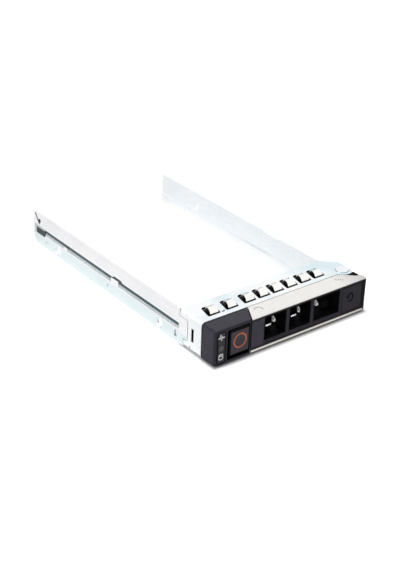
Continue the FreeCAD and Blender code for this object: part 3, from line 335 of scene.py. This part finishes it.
# Near-black tone for painted shade on cut edges.
SHADED_EDGE_TONE = (0.05, 0.05, 0.055)
print("cut edges are drawn in", SHADED_EDGE_TONE)

# %% [markdown]
# ## Light
# The caddy stands in a white light tent.
# The world gives an even light from all sides, and is plain white to the camera and in reflections.
# One wide lamp hangs above and a weaker one stands at the left, so that the top is brightest.
# Lamps alone would leave the bright metal mirroring a dark room, so the world is bright as well.

# %% World and lamps
def seen_directly(owner):
    """1 for camera, mirror and see-through rays, 0 for rays that light the pieces."""
    path = node(owner, "LightPath").outputs
    return larger(owner, path["Is Camera Ray"], path["Is Glossy Ray"], path["Is Transmission Ray"])


world = bpy.data.worlds.new("tent")
bpy.context.scene.world = world
world.use_nodes = True
sky = world.node_tree.nodes["Background"]
sky.inputs["Color"].default_value = (1.0, 1.0, 1.0, 1.0)
join(world, fade(world, seen_directly(world), 0.5, 1.0), sky.inputs["Strength"])


def lamp(name, place, width, watts):
    """Square soft box at a place, turned to the caddy's middle."""
    light = bpy.data.lights.new(name, "AREA")
    light.size = width
    light.energy = watts
    holder = bpy.data.objects.new(name, light)
    bpy.context.scene.collection.objects.link(holder)
    holder.location = place
    holder.rotation_euler = (-Vector(place)).to_track_quat("-Z", "Y").to_euler()
    return holder


lamps = [
    lamp("soft_box_above", (-0.32, -0.04, 0.82), 0.6, 2.9),
    lamp("soft_box_left", (-0.85, 0.15, 0.40), 0.5, 1.4),
]
print("lamps:", [item.name for item in lamps])

# %% [markdown]
# ## The floor's finish
# White paper would show a wide grey shadow, because the lamps are soft.
# To the camera the paper is lifted well above white, but not close to the fascia, which keeps its shadow;
# right beside the fascia the paper is painted darker than its own tone, a painted contact shadow.
# Mirrors see it as plain white, and the light that it throws back on the caddy stays that of paper.
# A floor that only glows would be simpler, but it would show no shadow at all.

# %% Floor finish
COVERED_DEPTH = 22.0
SHADOW_WIDTH = 2.2
PAPER_TONE = 0.78
# Painted shadow: next to the fascia the camera sees the paper darker than its own tone.
PAINTED_SHADOW_TONE, TONE_BEYOND = 0.5, 2.0
GLOW_IN_MIRRORS, GLOW_TO_CAMERA = 0.22, 0.02


def beyond_fascia(material, width_mm):
    """0 on the floor under the fascia and the bracket, 1 at width_mm or more from them.

    The distance to a rectangle is the length of what is left of the offset beyond half its size."""
    low, high = at(0, 0, 0), at(FASCIA_RIGHT, COVERED_DEPTH, 0)
    offset = offset_from(material, (low + high) / 2)
    offset = node(material, "VectorMath", [(0, offset)], operation="ABSOLUTE").outputs["Vector"]
    beyond = node(material, "VectorMath", [(0, offset)], operation="SUBTRACT")
    beyond.inputs[1].default_value = (high - low) / 2 + (0, 0, 1)
    beyond = node(material, "VectorMath", [(0, beyond.outputs["Vector"])], operation="MAXIMUM")
    distance = length_of(material, beyond.outputs["Vector"])
    return between(material, distance, 0.0, 1.0, (0.0, width_mm * MM))


def paper_finish():
    """Matt paper plus a weak glow, both of which depend on the kind of ray."""
    paper, unused = new_finish("paper")
    paper.node_tree.nodes.remove(unused)
    to_camera = node(paper, "LightPath").outputs["Is Camera Ray"]
    lifted = fade(paper, beyond_fascia(paper, SHADOW_WIDTH), PAINTED_SHADOW_TONE, TONE_BEYOND)
    tone = node(paper, "MapRange", [("Value", to_camera), ("To Max", lifted)], To_Min=PAPER_TONE)
    matt = node(paper, "BsdfDiffuse", [("Color", tone.outputs["Result"])])
    glow_level = product(paper, seen_directly(paper), fade(paper, to_camera, GLOW_IN_MIRRORS, GLOW_TO_CAMERA))
    glow = node(paper, "Emission", [("Strength", glow_level)])
    both = node(paper, "AddShader", [(0, matt.outputs[0]), (1, glow.outputs[0])])
    join(paper, both.outputs[0], paper.node_tree.nodes["Material Output"].inputs["Surface"])
    return paper


floor.data.materials.append(paper_finish())
print("floor finish:", floor.data.materials[0].name)

# %% [markdown]
# ## Where the zinc plate changes
# A press leaves bare cut edges, and those look dark between bright faces.
# The cut edges beside the spring fingers, on the round lug and on the sides of the fingers themselves are
# painted near-black, as painted shade between bright faces.
# A fine gap runs round the pivot pin's head, and a thin line of painted shade is laid round it; a small slot
# near the left rail's end is a round spot of painted shade.
# The lowest band of the left rail is painted a paler cyan as a painted reflection, and that of the right rail
# white as painted light.

# %% Masks on the sheet metal
FINGER_ROWS = ((5.3, 8.975), (23.25, 7.27))
SECOND_ROW = 22.0
CUT_SPAN = (2.3, 2.6)
WINDOW_ZONE = (("Y", 11.0, 11.1), ("Y", 18.6, 18.5), ("Z", 14.5, 14.6))
LUG_ZONE = (("X", 73.0, 73.6), ("Y", 8.7, 8.6), ("Z", 14.4, 14.5))
PLATE_TOP = ("Z", 15.4, 15.5)
SLOT_PLACE, SLOT_RADIUS = at(0.0, 127.6, 11.8), 0.8


def shade_beside_fingers(material):
    """1 on the upright cut edges at the left of each window in the plate, which are painted with shade, 0
    elsewhere.

    Along the row the windows lean by 0.2 mm per mm of depth, so X less that lean repeats with their pitch.
    FINGER_ROWS gives the first window's left edge and the pitch, of the first two windows and of the rest.
    The edge ends within CUT_SPAN of the window's left side."""
    across = fade(material, coordinate(material, "X", 0.0, 100.0), 0.0, 100.0)
    lean = fade(material, coordinate(material, "Y", 11.2, 21.2), 0.0, 2.0)
    row = node(material, "Math", [(0, across), (1, lean)], operation="SUBTRACT").outputs[0]
    edges = []
    for first, pitch in FINGER_ROWS:
        shifted = node(material, "Math", [(0, row)], operation="SUBTRACT")
        shifted.inputs[1].default_value = first
        wrapped = node(material, "Math", [(0, shifted.outputs[0])], operation="FLOORED_MODULO")
        wrapped.inputs[1].default_value = pitch
        edges.append(between(material, wrapped.outputs[0], 1.0, 0.0, CUT_SPAN))
    later = coordinate(material, "X", SECOND_ROW, SECOND_ROW + 0.1)
    chosen = node(material, "Mix", [("Factor", later), (2, edges[0]), (3, edges[1])], data_type="FLOAT")
    return product(material, upright_faces(material), zone(material, *WINDOW_ZONE), chosen.outputs[0])


def shade_round_pivot(material):
    """0.6 on a thin line of painted shade round the pivot pin's head, 0 elsewhere."""
    away = length_of(material, offset_from(material, at(PIVOT_X, PIVOT_Y, FASCIA_TOP)))
    inner = between(material, away, 0.0, 1.0, ((PIN_RADIUS - 0.10) * MM, (PIN_RADIUS + 0.02) * MM))
    outer = between(material, away, 1.0, 0.0, ((PIN_RADIUS + 0.18) * MM, (PIN_RADIUS + 0.35) * MM))
    return fade(material, product(material, inner, outer, zone(material, PLATE_TOP)), 0.0, 0.6)


def shaded_lug_edge(material):
    """1 on the cut edge of the bracket's round lug beside the pivot, which is painted with shade, 0
    elsewhere.
    """
    return product(material, upright_faces(material), zone(material, *LUG_ZONE))


def bracket_painted_shade(material):
    """All painted shade on the bracket: beside the fingers, round the pivot pin and on the lug."""
    return larger(material, shade_beside_fingers(material), shade_round_pivot(material), shaded_lug_edge(material))


def shaded_finger_sides(material):
    """1 on the cut faces that are turned to the left or right, which are painted with shade, 0 elsewhere."""
    return between(material, facing(material, "X"), 0.0, 1.0, (0.75, 0.9))


def painted_slot_shade(material):
    """1 inside the small round slot near the left rail's rear end, painted black as the shade in it, 0
    outside.
    """
    away = length_of(material, offset_from(material, SLOT_PLACE))
    return between(material, away, 1.0, 0.0, (SLOT_RADIUS * MM, (SLOT_RADIUS + 0.3) * MM))


def left_foot_reflection(material):
    """1 on the lowest part of the left rail, 0 from 5.8 mm up: there a paler cyan is painted as a reflection.
    """
    return coordinate(material, "Z", 5.8, 4.8)


def right_foot_light(material):
    """1 on the lowest part of the right rail, 0 from 5.5 mm up: there it is painted white as light."""
    return coordinate(material, "Z", 5.5, 2.5)


print("finger rows start at", [row[0] for row in FINGER_ROWS], "mm")

# %% [markdown]
# ## Zinc plate
# Bracket and rails are folded from bright zinc plated sheet.
# Zinc is nearly white with a blue cast, slightly cloudy, with faint rolling lines along the sheet.
# The lines are noise that is stretched along one axis, and they drive roughness and a very shallow relief.
# An anisotropic metal would streak its highlights too, but would show no single lines from close by.

# %% Zinc plate finish
def zinc_plate(name, lines, cool, warm, drift=None, patches=()):
    """Bright plated sheet with rolling lines along the stretched axis.

    drift gives the X in mm between which the tint turns from warm to cool.
    patches are pairs of a mask and the colour that it lays over the sheet."""
    finish, shader = new_finish(name, Metallic=1.0)
    tint = speckle(finish, 14.0, 3.0)
    rolled = speckle(finish, 0.35, 4.0, lines)
    if drift:
        cooler = fade(finish, coordinate(finish, "X", *drift), 0.12, -0.12)
        tint = node(finish, "Math", [(0, tint), (1, cooler)], operation="ADD").outputs[0]
    tone = two_tone(finish, tint, cool, warm)
    for mask, colour in patches:
        tone = painted_over(finish, mask(finish), tone, colour)
    join(finish, tone, shader.inputs["Base Color"])
    join(finish, between(finish, rolled, 0.24, 0.40), shader.inputs["Roughness"])
    relief(finish, shader, rolled, 0.004, 0.12)
    return finish


# Painted shade on the bracket's cut edges and round the pivot pin.
zinc_bracket = zinc_plate("zinc_bracket", (0.03, 1, 1), (0.71, 0.83, 0.88), (0.94, 0.96, 0.965),
    drift=(56.0, 72.0), patches=[(bracket_painted_shade, SHADED_EDGE_TONE)])
# The left rail's lowest band is a painted reflection, and its slot is painted shade.
zinc_left = zinc_plate("zinc_left_rail", (1, 0.02, 1), (0.90, 0.90, 0.92), (0.955, 0.95, 0.955),
    patches=[(left_foot_reflection, (0.80, 0.875, 0.89)), (painted_slot_shade, (0.02, 0.02, 0.025))])
# The right rail's lowest band is painted white as light.
zinc_right = zinc_plate("zinc_right_rail", (1, 0.02, 1), (0.90, 0.945, 0.985), (0.95, 0.98, 1.0),
    patches=[(right_foot_light, (1.0, 1.0, 1.0))])
# Painted shade on the sides of the spring fingers.
spring_sheet = zinc_plate("spring_sheet", (1, 0.05, 1), (0.92, 0.915, 0.88), (0.97, 0.96, 0.935),
    patches=[(shaded_finger_sides, SHADED_EDGE_TONE)])
spring_wire = zinc_plate("spring_wire", (1, 1, 1), (0.84, 0.84, 0.82), (0.91, 0.90, 0.88))
turned_pin = zinc_plate("turned_pin", (1, 1, 1), (0.86, 0.88, 0.92), (0.92, 0.93, 0.96))
dress(zinc_bracket, "front_bracket")
dress(zinc_left, "left_rail")
dress(zinc_right, "right_rail")
dress(spring_sheet, "emi_finger_strip")
dress(spring_wire, "button_spring")
dress(turned_pin, "pivot_pin", "ejector_cam", "handle_catch")

# %% [markdown]
# ## Where the mouldings change
# The button and the status window have a rim that is painted black as shade, where they dip into the gap
# round them.
# The cap has a well round the button and a joint at its back, both painted black as shade, and its front face
# is painted darker as shade.
# Little light gets behind the grille's front faces, so those walls are painted deeper black as shade; the
# grille's left end is painted lighter as light, and its sill, top and right pad darker as shade.
# The vented wall is black, and the vents' inner faces are painted bright metal, a painted glint of the light
# seen through them.

# %% Masks on the mouldings
BUTTON_FACE = (7.9, 16.35, 3.1, 12.7)
BUTTON_WELL = (5.75, 16.95, 1.35, 14.7)
VENT_AREA = (25.0, 66.0, 3.25, 7.15)
CAP_JOINT = 7.9
PANE_SHADE_WIDTH = 0.51
VENT_REAR = ("Y", 9.9, 9.85)
CLIP_OUTSIDE = ("X", 0.5, 0.4)
CLIP_MIDDLE = (("Y", 130.7, 130.1), ("Z", 8.5, 8.0), ("Z", 5.0, 5.5))


def within(material, left, right, low, high, soft=0.15):
    """1 inside a rectangle of the fascia, given in mm, falling to 0 over a soft border outside it."""
    sides = (("X", left - soft, left), ("X", right + soft, right))
    ends = (("Z", low - soft, low), ("Z", high + soft, high))
    return zone(material, *sides, *ends)


def shaded_button_rim(material):
    """1 outside the button's face, 0 on it: the rim is painted black as shade."""
    return fade(material, within(material, *BUTTON_FACE), 1.0, 0.0)


def shaded_pane_rim(material):
    """1 on the status window's border, 0 on the rest of it: the border is painted black as shade."""
    low, high = drawn_box("led_window")
    face = (low[0] + PANE_SHADE_WIDTH, high[0] - PANE_SHADE_WIDTH, low[2] + PANE_SHADE_WIDTH, high[2] - PANE_SHADE_WIDTH)
    return fade(material, within(material, *face), 1.0, 0.0)


def shaded_cap_gaps(material):
    """1 in the well round the button and in the joint behind the cap, 0 elsewhere: there the cap is painted
    black as shade.
    """
    well = product(material, within(material, *BUTTON_WELL, 0.05), coordinate(material, "Y", 0.35, 0.55))
    return larger(material, well, coordinate(material, "Y", CAP_JOINT, CAP_JOINT + 0.15))


def shaded_cap_front(material):
    """0.55 on the cap's front face, 1 behind it: the front is painted darker as shade."""
    return fade(material, coordinate(material, "Y", 0.3, 0.6), 0.55, 1.0)


def grille_light_and_shade(material):
    """Painted light and shade on the grille: lighter at the left end as light, and darker behind the front,
    round the right pad, at the sill and under the cover as shade.

    Each row gives an axis, the places in mm between which the level changes, and the level at either."""
    steps = (
        ("Y", 0.3, 0.8, 1.0, 0.1),
        ("X", 23.5, 25.0, 2.4, 1.0),
        ("X", 76.1, 76.3, 1.0, 0.15),
        ("Z", 2.9, 2.1, 1.0, 0.3),
        ("Z", 13.7, 14.2, 1.0, 0.35),
    )
    return product(material, *(
        fade(material, coordinate(material, axis, start, end), at_start, at_end)
        for axis, start, end, at_start, at_end in steps))


def painted_vent_glints(material):
    """1 on the faces inside the wall's vents, which are turned neither forwards nor rearwards; these are
    painted bright metal as a painted glint.
    """
    sideways = between(material, facing(material, "Y"), 1.0, 0.0, (0.5, 0.7))
    return product(material, sideways, within(material, *VENT_AREA, 0.05), zone(material, VENT_REAR))


def clip_border(material):
    """1 on the outer face of the rear clip away from its middle, 0 elsewhere."""
    around = fade(material, zone(material, *CLIP_MIDDLE), 1.0, 0.0)
    return product(material, zone(material, CLIP_OUTSIDE), around)


print("button face:", BUTTON_FACE, "vents:", VENT_AREA)

# %% [markdown]
# ## Black mouldings
# The end cap, the button and the grille are moulded in black with a hint of violet.
# Spark-eroded moulds leave a fine even grain, which scatters the shine.
# Noise in the relief and in the roughness gives that grain without any extra mesh.
# A narrow gap mirrors next to nothing, so where shade is painted in gaps the finish turns to a metal whose
# own tone is nearly black.

# %% Black moulding finish
def moulding(name, dark, light, rough, grain_mm=0.16, depth_mm=0.006, shine=0.15,
             level=None, shade_gap=None, glint=None, pale=None):
    """Moulded plastic: fine grain relief, slight cloudiness, soft edges.

    level is a function that gives the share of the colour that is left, for painted light and shade.
    shade_gap gives a mask where the finish turns to black as painted shade, and glint one where bright metal
    is painted as a glint.
    pale is a mask with the colour that it lays over the plastic."""
    finish, shader = new_finish(name, Specular_IOR_Level=shine)
    grain = speckle(finish, grain_mm, 2.0)
    tone = two_tone(finish, speckle(finish, 5.0, 3.0), dark, light)
    if level:
        tone = dimmed(finish, tone, level(finish))
    # Painted shade: the finish turns black in the gaps.
    if shade_gap:
        hidden = shade_gap(finish)
        tone = dimmed(finish, tone, fade(finish, hidden, 1.0, 0.05))
        join(finish, hidden, shader.inputs["Metallic"])
    # Painted glint: the finish turns bright metal.
    if glint:
        metal = glint(finish)
        tone = painted_over(finish, metal, tone, (0.95, 0.95, 0.955))
        grain = product(finish, grain, fade(finish, metal, 1.0, 0.2))
        join(finish, metal, shader.inputs["Metallic"])
    if pale:
        mask, colour = pale
        tone = painted_over(finish, mask(finish), tone, colour)
    join(finish, tone, shader.inputs["Base Color"])
    join(finish, between(finish, grain, rough - 0.06, rough + 0.08), shader.inputs["Roughness"])
    relief(finish, shader, grain, depth_mm, 0.15)
    return finish


# The cap's front face is painted darker and its well and joint black, as painted shade.
cap_plastic = moulding("cap_plastic", (0.015, 0.012, 0.026), (0.022, 0.018, 0.035), 0.33, shine=0.25,
    level=shaded_cap_front, shade_gap=shaded_cap_gaps)
# The button's rim is painted black as shade.
button_plastic = moulding("button_plastic", (0.048, 0.044, 0.057), (0.058, 0.053, 0.068), 0.42, shine=0.2,
    shade_gap=shaded_button_rim)
# The grille is painted lighter at its left end as light, and darker behind its front as shade.
grille_plastic = moulding("grille_plastic", (0.020, 0.018, 0.026), (0.027, 0.024, 0.035), 0.48,
    level=grille_light_and_shade)
# The vents' inner faces are painted bright metal as a painted glint.
wall_plastic = moulding("wall_plastic", (0.003, 0.003, 0.004), (0.005, 0.005, 0.006), 0.30, shine=0.08,
    glint=painted_vent_glints)
clip_plastic = moulding("clip_plastic", (0.05, 0.06, 0.062), (0.08, 0.09, 0.092), 0.45,
    pale=(clip_border, (0.62, 0.66, 0.67)))
latch_plastic = moulding("latch_plastic", (0.05, 0.05, 0.05), (0.07, 0.07, 0.07), 0.40)
dress(cap_plastic, "end_housing")
dress(button_plastic, "release_button")
dress(grille_plastic, "handle_grille")
dress(wall_plastic, "vent_wall")
dress(clip_plastic, "light_pipe_rear_clip")
dress(latch_plastic, "latch_slide")

# %% [markdown]
# ## The window, its lens and the button's ring
# The status window is smoked and smoother than the cap, and its lens is a little lighter.
# The ring is moulded in terracotta and pressed into the button.
# All three are mouldings too, with a finer or the same grain.

# %% Small mouldings
# The status window's border is painted black as shade.
window_pane = moulding("window_pane", (0.032, 0.029, 0.036), (0.038, 0.034, 0.042), 0.25, 0.3, 0.002, 0.2,
    shade_gap=shaded_pane_rim)
sensor_lens = moulding("sensor_lens", (0.085, 0.085, 0.095), (0.10, 0.10, 0.11), 0.30, 0.3, 0.002, 0.3)
ring_inlay = moulding("ring_inlay", (0.54, 0.15, 0.075), (0.62, 0.18, 0.09), 0.5)
dress(window_pane, "led_window")
dress(sensor_lens, "led_lens")
dress(ring_inlay, "button_ring")

# %% [markdown]
# ## The handle's silver cover
# The cover is a thin folded sheet with a warm satin lacquer that holds fine metal flakes.
# Flakes are small cells, each with its own brightness, and a Voronoi pattern divides space into such cells.
# The right tip is painted darker, as painted shade.
# The lower strip is painted a bright cream, a painted reflection of the white floor.
# The edges under the strip, under the front lip and at the right end are painted dark as shade.

# %% Satin silver finish
SHADED_END_EDGE = (("X", 77.55, 77.65), ("Y", 0.5, 0.3), ("Z", 15.2, 14.9))
SHADED_UNDER_LIP = (("Z", 14.5, 14.6), ("Z", 15.28, 15.16), ("X", 77.6, 77.5))
STRIP_HIGHLIGHT = ("Z", 1.75, 1.65)
ABOVE_PAINTED_SHADE = ("Z", 0.74, 0.80)
SHADED_RIGHT_TIP = ("X", 66.0, 78.0)


def satin_silver():
    """Lacquer with flakes: the cells of a Voronoi pattern give the tone, their distances the relief."""
    silver, shader = new_finish("satin_silver", Metallic=0.85)
    flakes = node(silver, "TexVoronoi", [("Vector", place_on_piece(silver))], Scale=5200.0)
    sparkle = fade(silver, flakes.outputs["Color"], 0.0, 1.0)
    tone = two_tone(silver, sparkle, (0.78, 0.76, 0.735), (0.94, 0.925, 0.905), (0.0, 1.0))
    # Painted reflection: the lower strip is laid over in a brighter cream.
    tone = painted_over(silver, zone(silver, STRIP_HIGHLIGHT), tone, (1.0, 0.975, 0.92))
    # Painted shade: darker towards the right tip.
    shaded_right_tip = fade(silver, zone(silver, SHADED_RIGHT_TIP), 1.0, 0.72)
    # Painted shade: dark along the strip's lower edge.
    shaded_lower_edge = fade(silver, zone(silver, ABOVE_PAINTED_SHADE), 0.06, 1.0)
    # Painted shade: dark at the right end and under the front lip.
    shaded_edges = larger(silver, zone(silver, *SHADED_END_EDGE), zone(silver, *SHADED_UNDER_LIP))
    edge_shade = fade(silver, shaded_edges, 1.0, 0.08)
    tone = dimmed(silver, tone, product(silver, shaded_right_tip, shaded_lower_edge, edge_shade))
    join(silver, tone, shader.inputs["Base Color"])
    join(silver, between(silver, speckle(silver, 0.3), 0.34, 0.46), shader.inputs["Roughness"])
    relief(silver, shader, flakes.outputs["Distance"], 0.003, 0.12)
    return silver


dress(satin_silver(), "handle_cover")

# %% [markdown]
# ## Light pipes
# Two clear rods carry the drive's signals to the fascia.
# Full glass would take many bounces of light and come out noisy, so only a quarter of the light goes through.
# The upper one lies under the groove's edge and is painted dark teal as shade; the lower one is painted pale
# as light, and darker towards its top as painted shade.

# %% Light pipe finish
def light_guide(name, dark, light, shade=None):
    """Clear rod: part of the light goes through, streaks run along the rod.

    shade gives two heights in mm, between which the rod goes from painted shade to its full tone."""
    finish, shader = new_finish(name, Roughness=0.14, IOR=1.49, Transmission_Weight=0.25)
    tone = two_tone(finish, speckle(finish, 2.5, 2.0, (1, 0.1, 1)), dark, light)
    if shade:
        tone = dimmed(finish, tone, fade(finish, coordinate(finish, "Z", *shade), 0.25, 1.0))
    join(finish, tone, shader.inputs["Base Color"])
    relief(finish, shader, speckle(finish, 0.6, 1.0, (1, 0.1, 1)), 0.004, 0.08)
    return finish


# Shaded and lit copies of one clear rod: the upper is painted shade, the lower painted light.
shaded_guide = light_guide("light_guide_shaded", (0.012, 0.075, 0.10), (0.03, 0.13, 0.165))
lit_guide = light_guide("light_guide_lit", (0.78, 0.88, 0.91), (0.88, 0.96, 0.98), shade=(7.35, 6.75))
dress(shaded_guide, "light_pipe_upper")
dress(lit_guide, "light_pipe_lower")

# %% [markdown]
# ## Lines drawn along a path
# Printed and embossed marks are both a line of even width that follows a path.
# The path's points are moved to both sides by half the width, and further at corners so that the width stays.
# An embossed mark gets a low roof: its section is a trapezium that stands on the surface.

# %% Bands along a path
def band(path, width, closed=False):
    """Left and right edges of a line of even width.

    Each point moves along the normal of the mean direction.
    It goes by half the width over the cosine of half the turn."""
    path = np.asarray(path, float)
    step = np.roll(path, -1, axis=0) - path
    step /= np.maximum(np.linalg.norm(step, axis=1, keepdims=True), 1e-9)
    before = np.roll(step, 1, axis=0)
    if not closed:
        before[0] = step[0]
        step[-1] = before[-1]
    mean = step + before
    mean /= np.linalg.norm(mean, axis=1, keepdims=True)
    normal = np.stack([-mean[:, 1], mean[:, 0]], axis=1)
    reach = width / 2 / np.clip((mean * step).sum(1, keepdims=True), 0.5, 1.0)
    return path + normal * reach, path - normal * reach


def printed(name, path, width, lay, closed=False):
    """Flat line: the two edges of a band, laid on a face."""
    left, right = band(path, width, closed)
    flat = np.stack([left, right], axis=1)
    return sheet_of(name, lay(flat[..., 0], flat[..., 1], 0.0), close_u=closed)


def embossed(name, path, width, rise, lay, closed=False):
    """Raised line: foot, crest, crest, foot across the band; open ends get a flat lid."""
    left, right = band(path, width, closed)
    middle = (left + right) / 2
    section = [(1.0, -0.02), (0.6, rise), (-0.6, rise), (-1.0, -0.02)]
    places = np.stack([middle + (left - middle) * share for share, _ in section], axis=1)
    heights = np.broadcast_to([height for _, height in section], places.shape[:2])
    points = lay(places[..., 0], places[..., 1], heights)
    return with_lids(sheet_of(name, points, close_u=closed, close_v=True))


def arc_path(x, z, radius, start, end, count, squeeze=1.0):
    """Points of an arc in degrees; squeeze flattens or stretches it upwards."""
    turn = np.radians(np.linspace(start, end, count))
    return np.stack([x + radius * np.cos(turn), z + radius * squeeze * np.sin(turn)], axis=1)


print("band edges of a unit step:", [edge.round(2).tolist() for edge in band([(0, 0), (1, 0)], 0.2)])

# %% [markdown]
# ## Printed marks on the status window
# Two white pictograms are printed on the smoked strip: a pulse line above and a drum for the drive below.
# The drum is a flattened ring for the lid and an open line for the wall.
# They are thin meshes and not part of the window's finish, so their edges stay sharp from close by.

# %% Printed marks
PANE_FRONT = drawn_box("led_window")[0][1]
PRINT_THICKNESS = 0.025


def on_pane(x, z, rise):
    """Place on the status window, as far in front of the pane as the print is thick."""
    return at(x, PANE_FRONT - PRINT_THICKNESS - np.asarray(rise), z)


def speckled(name, grain_mm, dark, light, **settings):
    """A finish whose colour wavers between two tones in grains of about grain_mm."""
    finish, shader = new_finish(name, **settings)
    join(finish, two_tone(finish, speckle(finish, grain_mm), dark, light), shader.inputs["Base Color"])
    return finish


pulse_path = [(1.45, 12.3), (2.2, 12.3), (2.6, 13.75), (2.95, 11.2), (3.35, 12.7), (3.6, 12.3), (4.5, 12.3)]
drum_x, drum_top, drum_low, drum_r, drum_squeeze = 2.9, 4.7, 3.2, 0.94, 0.42
lid = arc_path(drum_x, drum_top, drum_r, 0, 348.75, 32, drum_squeeze)
base = arc_path(drum_x, drum_low, drum_r, 180, 360, 17, drum_squeeze)
wall = np.concatenate([[(drum_x - drum_r, drum_top)], base, [(drum_x + drum_r, drum_top)]])
white_print = speckled("white_print", 0.2, (0.86, 0.86, 0.88), (0.94, 0.94, 0.95), Roughness=0.6)
marks = [
    printed("pulse_mark", pulse_path, 0.5, on_pane),
    printed("drum_lid_mark", lid, 0.45, on_pane, closed=True),
    printed("drum_wall_mark", wall, 0.38, on_pane),
]
for mark in marks:
    mark.data.materials.append(white_print)
    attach(mark, "tray")
print("printed:", [mark.name for mark in marks])

# %% [markdown]
# ## The turned arrow on the pad
# The pad at the handle's right end carries a circular arrow, raised by a hair and matt black.
# Its shaft is an arc that is a little taller than wide, and its head is a bent line.

# %% Mark on the pad
PAD_FRONT = drawn_box("handle_grille")[0][1]


def on_pad(x, z, rise):
    """Place on the grille's face."""
    return at(x, PAD_FRONT - np.asarray(rise), z)


arrow_shaft = arc_path(70.1, 8.85, 1.45, -125, 150, 40, 1.25)
arrow_head = [(69.75, 9.65), (68.95, 8.75), (68.2, 9.75)]
pad_marks = [
    embossed("turn_arrow_arc", arrow_shaft, 0.75, 0.06, on_pad),
    embossed("turn_arrow_head", arrow_head, 0.6, 0.06, on_pad),
]
deep_black = moulding("deep_black", (0.003, 0.002, 0.004), (0.005, 0.004, 0.006), 0.60, 0.2, 0.002, 0.03)
for mark in pad_marks:
    mark.data.materials.append(deep_black)
    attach(mark, "handle")
print("on the pad:", [mark.name for mark in pad_marks])

# %% [markdown]
# ## Embossed marks on the cover
# The cover has an arc where the thumb goes, and like every raised line on it, it is painted darker as shade.
# A chevron with three dots near the pivot shows which way the handle swings.
# They follow a line that slants like the cover's rear edge, so their places are steps along it.

# %% Marks on the cover
COVER_RISE = 0.05
SWING_TURN = math.radians(-39)
SWING_START = np.array([66.3, 6.0])
DOTS = 3


def on_cover(x, y, rise):
    """Place on top of the handle's cover."""
    return at(x, y, FASCIA_TOP + np.asarray(rise))


along = np.array([math.cos(SWING_TURN), math.sin(SWING_TURN)])
across = np.array([-along[1], along[0]])
chevron = [SWING_START + 0.6 * (along + across), SWING_START, SWING_START + 0.6 * (along - across)]
cover_marks = [
    embossed("thumb_arc", arc_path(24.8, 4.7, 1.75, -28, 150, 28), 0.38, COVER_RISE, on_cover),
    embossed("swing_chevron", chevron, 0.32, COVER_RISE, on_cover),
]
for index in range(DOTS):
    dot_x, dot_y = SWING_START + along * (1.45 + 0.85 * index)
    dot = arc_path(dot_x, dot_y, 0.2, 0, 315, 8)
    cover_marks.append(embossed("swing_dot_%d" % (index + 1), dot, 0.2, COVER_RISE, on_cover, closed=True))
# The raised lines are painted darker, as painted shade.
shaded_emboss_silver = speckled(
    "shaded_emboss_silver", 0.25, (0.19, 0.175, 0.165), (0.27, 0.25, 0.24), Metallic=0.6, Roughness=0.55)
for mark in cover_marks:
    mark.data.materials.append(shaded_emboss_silver)
    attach(mark, "handle")
print("on the cover:", [mark.name for mark in cover_marks])

# %% [markdown]
# ## The button's spring
# A coil of thin wire sits between the button and the well's rear wall.
# It shortens when the button is pressed.
# The imported spring is rigid, so a coil of the same size takes its place.
# Its middle line is a helix whose first and last half turns lie flat, as on a spring with closed ends.

# %% Button spring
def coil(name, low, high, wire, turns, count, around):
    """Wire round a helix about the Y axis of the box from low to high.

    The middle line's angle grows evenly, and its height stays level over the half turns at both ends.
    The wire's section is a circle in the plane of the radius and the axis."""
    low, high = np.asarray(low), np.asarray(high)
    middle, radius = (low + high) / 2, (high[2] - low[2]) / 2 - wire / 2
    turn = np.linspace(0.0, 2 * np.pi * turns, count)[:, None]
    rise = np.clip((turn - np.pi) / (2 * np.pi * (turns - 1)), 0.0, 1.0)
    section = np.linspace(0.0, 2 * np.pi, around, endpoint=False)[None, :]
    reach = radius + wire / 2 * np.cos(section)
    depth = low[1] + wire / 2 + rise * (high[1] - low[1] - wire) + wire / 2 * np.sin(section)
    points = np.stack(np.broadcast_arrays(
        middle[0] + reach * np.cos(turn), depth, middle[2] + reach * np.sin(turn)), axis=-1)
    return with_lids(sheet_of(name, points, close_v=True))


WIRE = 0.36 * MM
spring_low, spring_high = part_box("button_spring")
spring = coil("pressed_spring", spring_low, spring_high, WIRE, 5, 181, 12)
spring.data.materials.append(spring_wire)
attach(spring, "tray")
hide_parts("button_spring")
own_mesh(spring)

# %% [markdown]
# ## The moulding's heel
# A black wedge of the handle's moulding shows between the cover's slanted rear edge and the bracket's lug.
# It is a slice of a ring about the pivot, so it stays clear of the lug while the handle swings.
# Three lines cut its outer edge: the slanted edge, one in front and one at the handle's right end.

# %% Moulding heel
def wedge(name, inner, start, end, low, high, edge, edge_turn, front, right):
    """Closed slice of a ring about the pivot, with a bevelled top.

    A line at a distance from the pivot has the radius distance over the cosine of the angle to its normal.
    The outer radius is the smallest of three such lines: the slanted edge, the front and the right limit."""
    turn = np.radians(np.linspace(start, end, 33))[:, None]
    to_edge = edge / np.clip(np.cos(turn + edge_turn), 0.05, 1.0)
    to_front = (PIVOT_Y - front) / np.clip(-np.sin(turn), 0.05, 1.0)
    to_right = (right - PIVOT_X) / np.clip(np.cos(turn), 0.05, 1.0)
    far = np.maximum(np.minimum(np.minimum(to_edge, to_front), to_right), inner + 0.15)
    near, inset = np.full_like(far, inner), 0.06
    radius = np.concatenate([near, far, far, far - inset, near + inset, near], axis=1)
    height = np.broadcast_to([low, low, high - inset, high, high, high - inset], radius.shape)
    points = at(PIVOT_X + radius * np.cos(turn), PIVOT_Y + radius * np.sin(turn), height)
    return with_lids(sheet_of(name, points, close_v=True))


heel = wedge("grille_heel", inner=4.35, start=-111, end=-47, low=13.2, high=15.5,
    edge=4.3, edge_turn=math.radians(130.7), front=3.6, right=77.6)
heel.data.materials.append(deep_black)
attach(heel, "handle")
print("heel faces:", len(heel.data.polygons))

# %% [markdown]
# ## Finish
# The last cell sets the view transform to Standard.

# %% Finish
bpy.context.scene.view_settings.view_transform = "Standard"
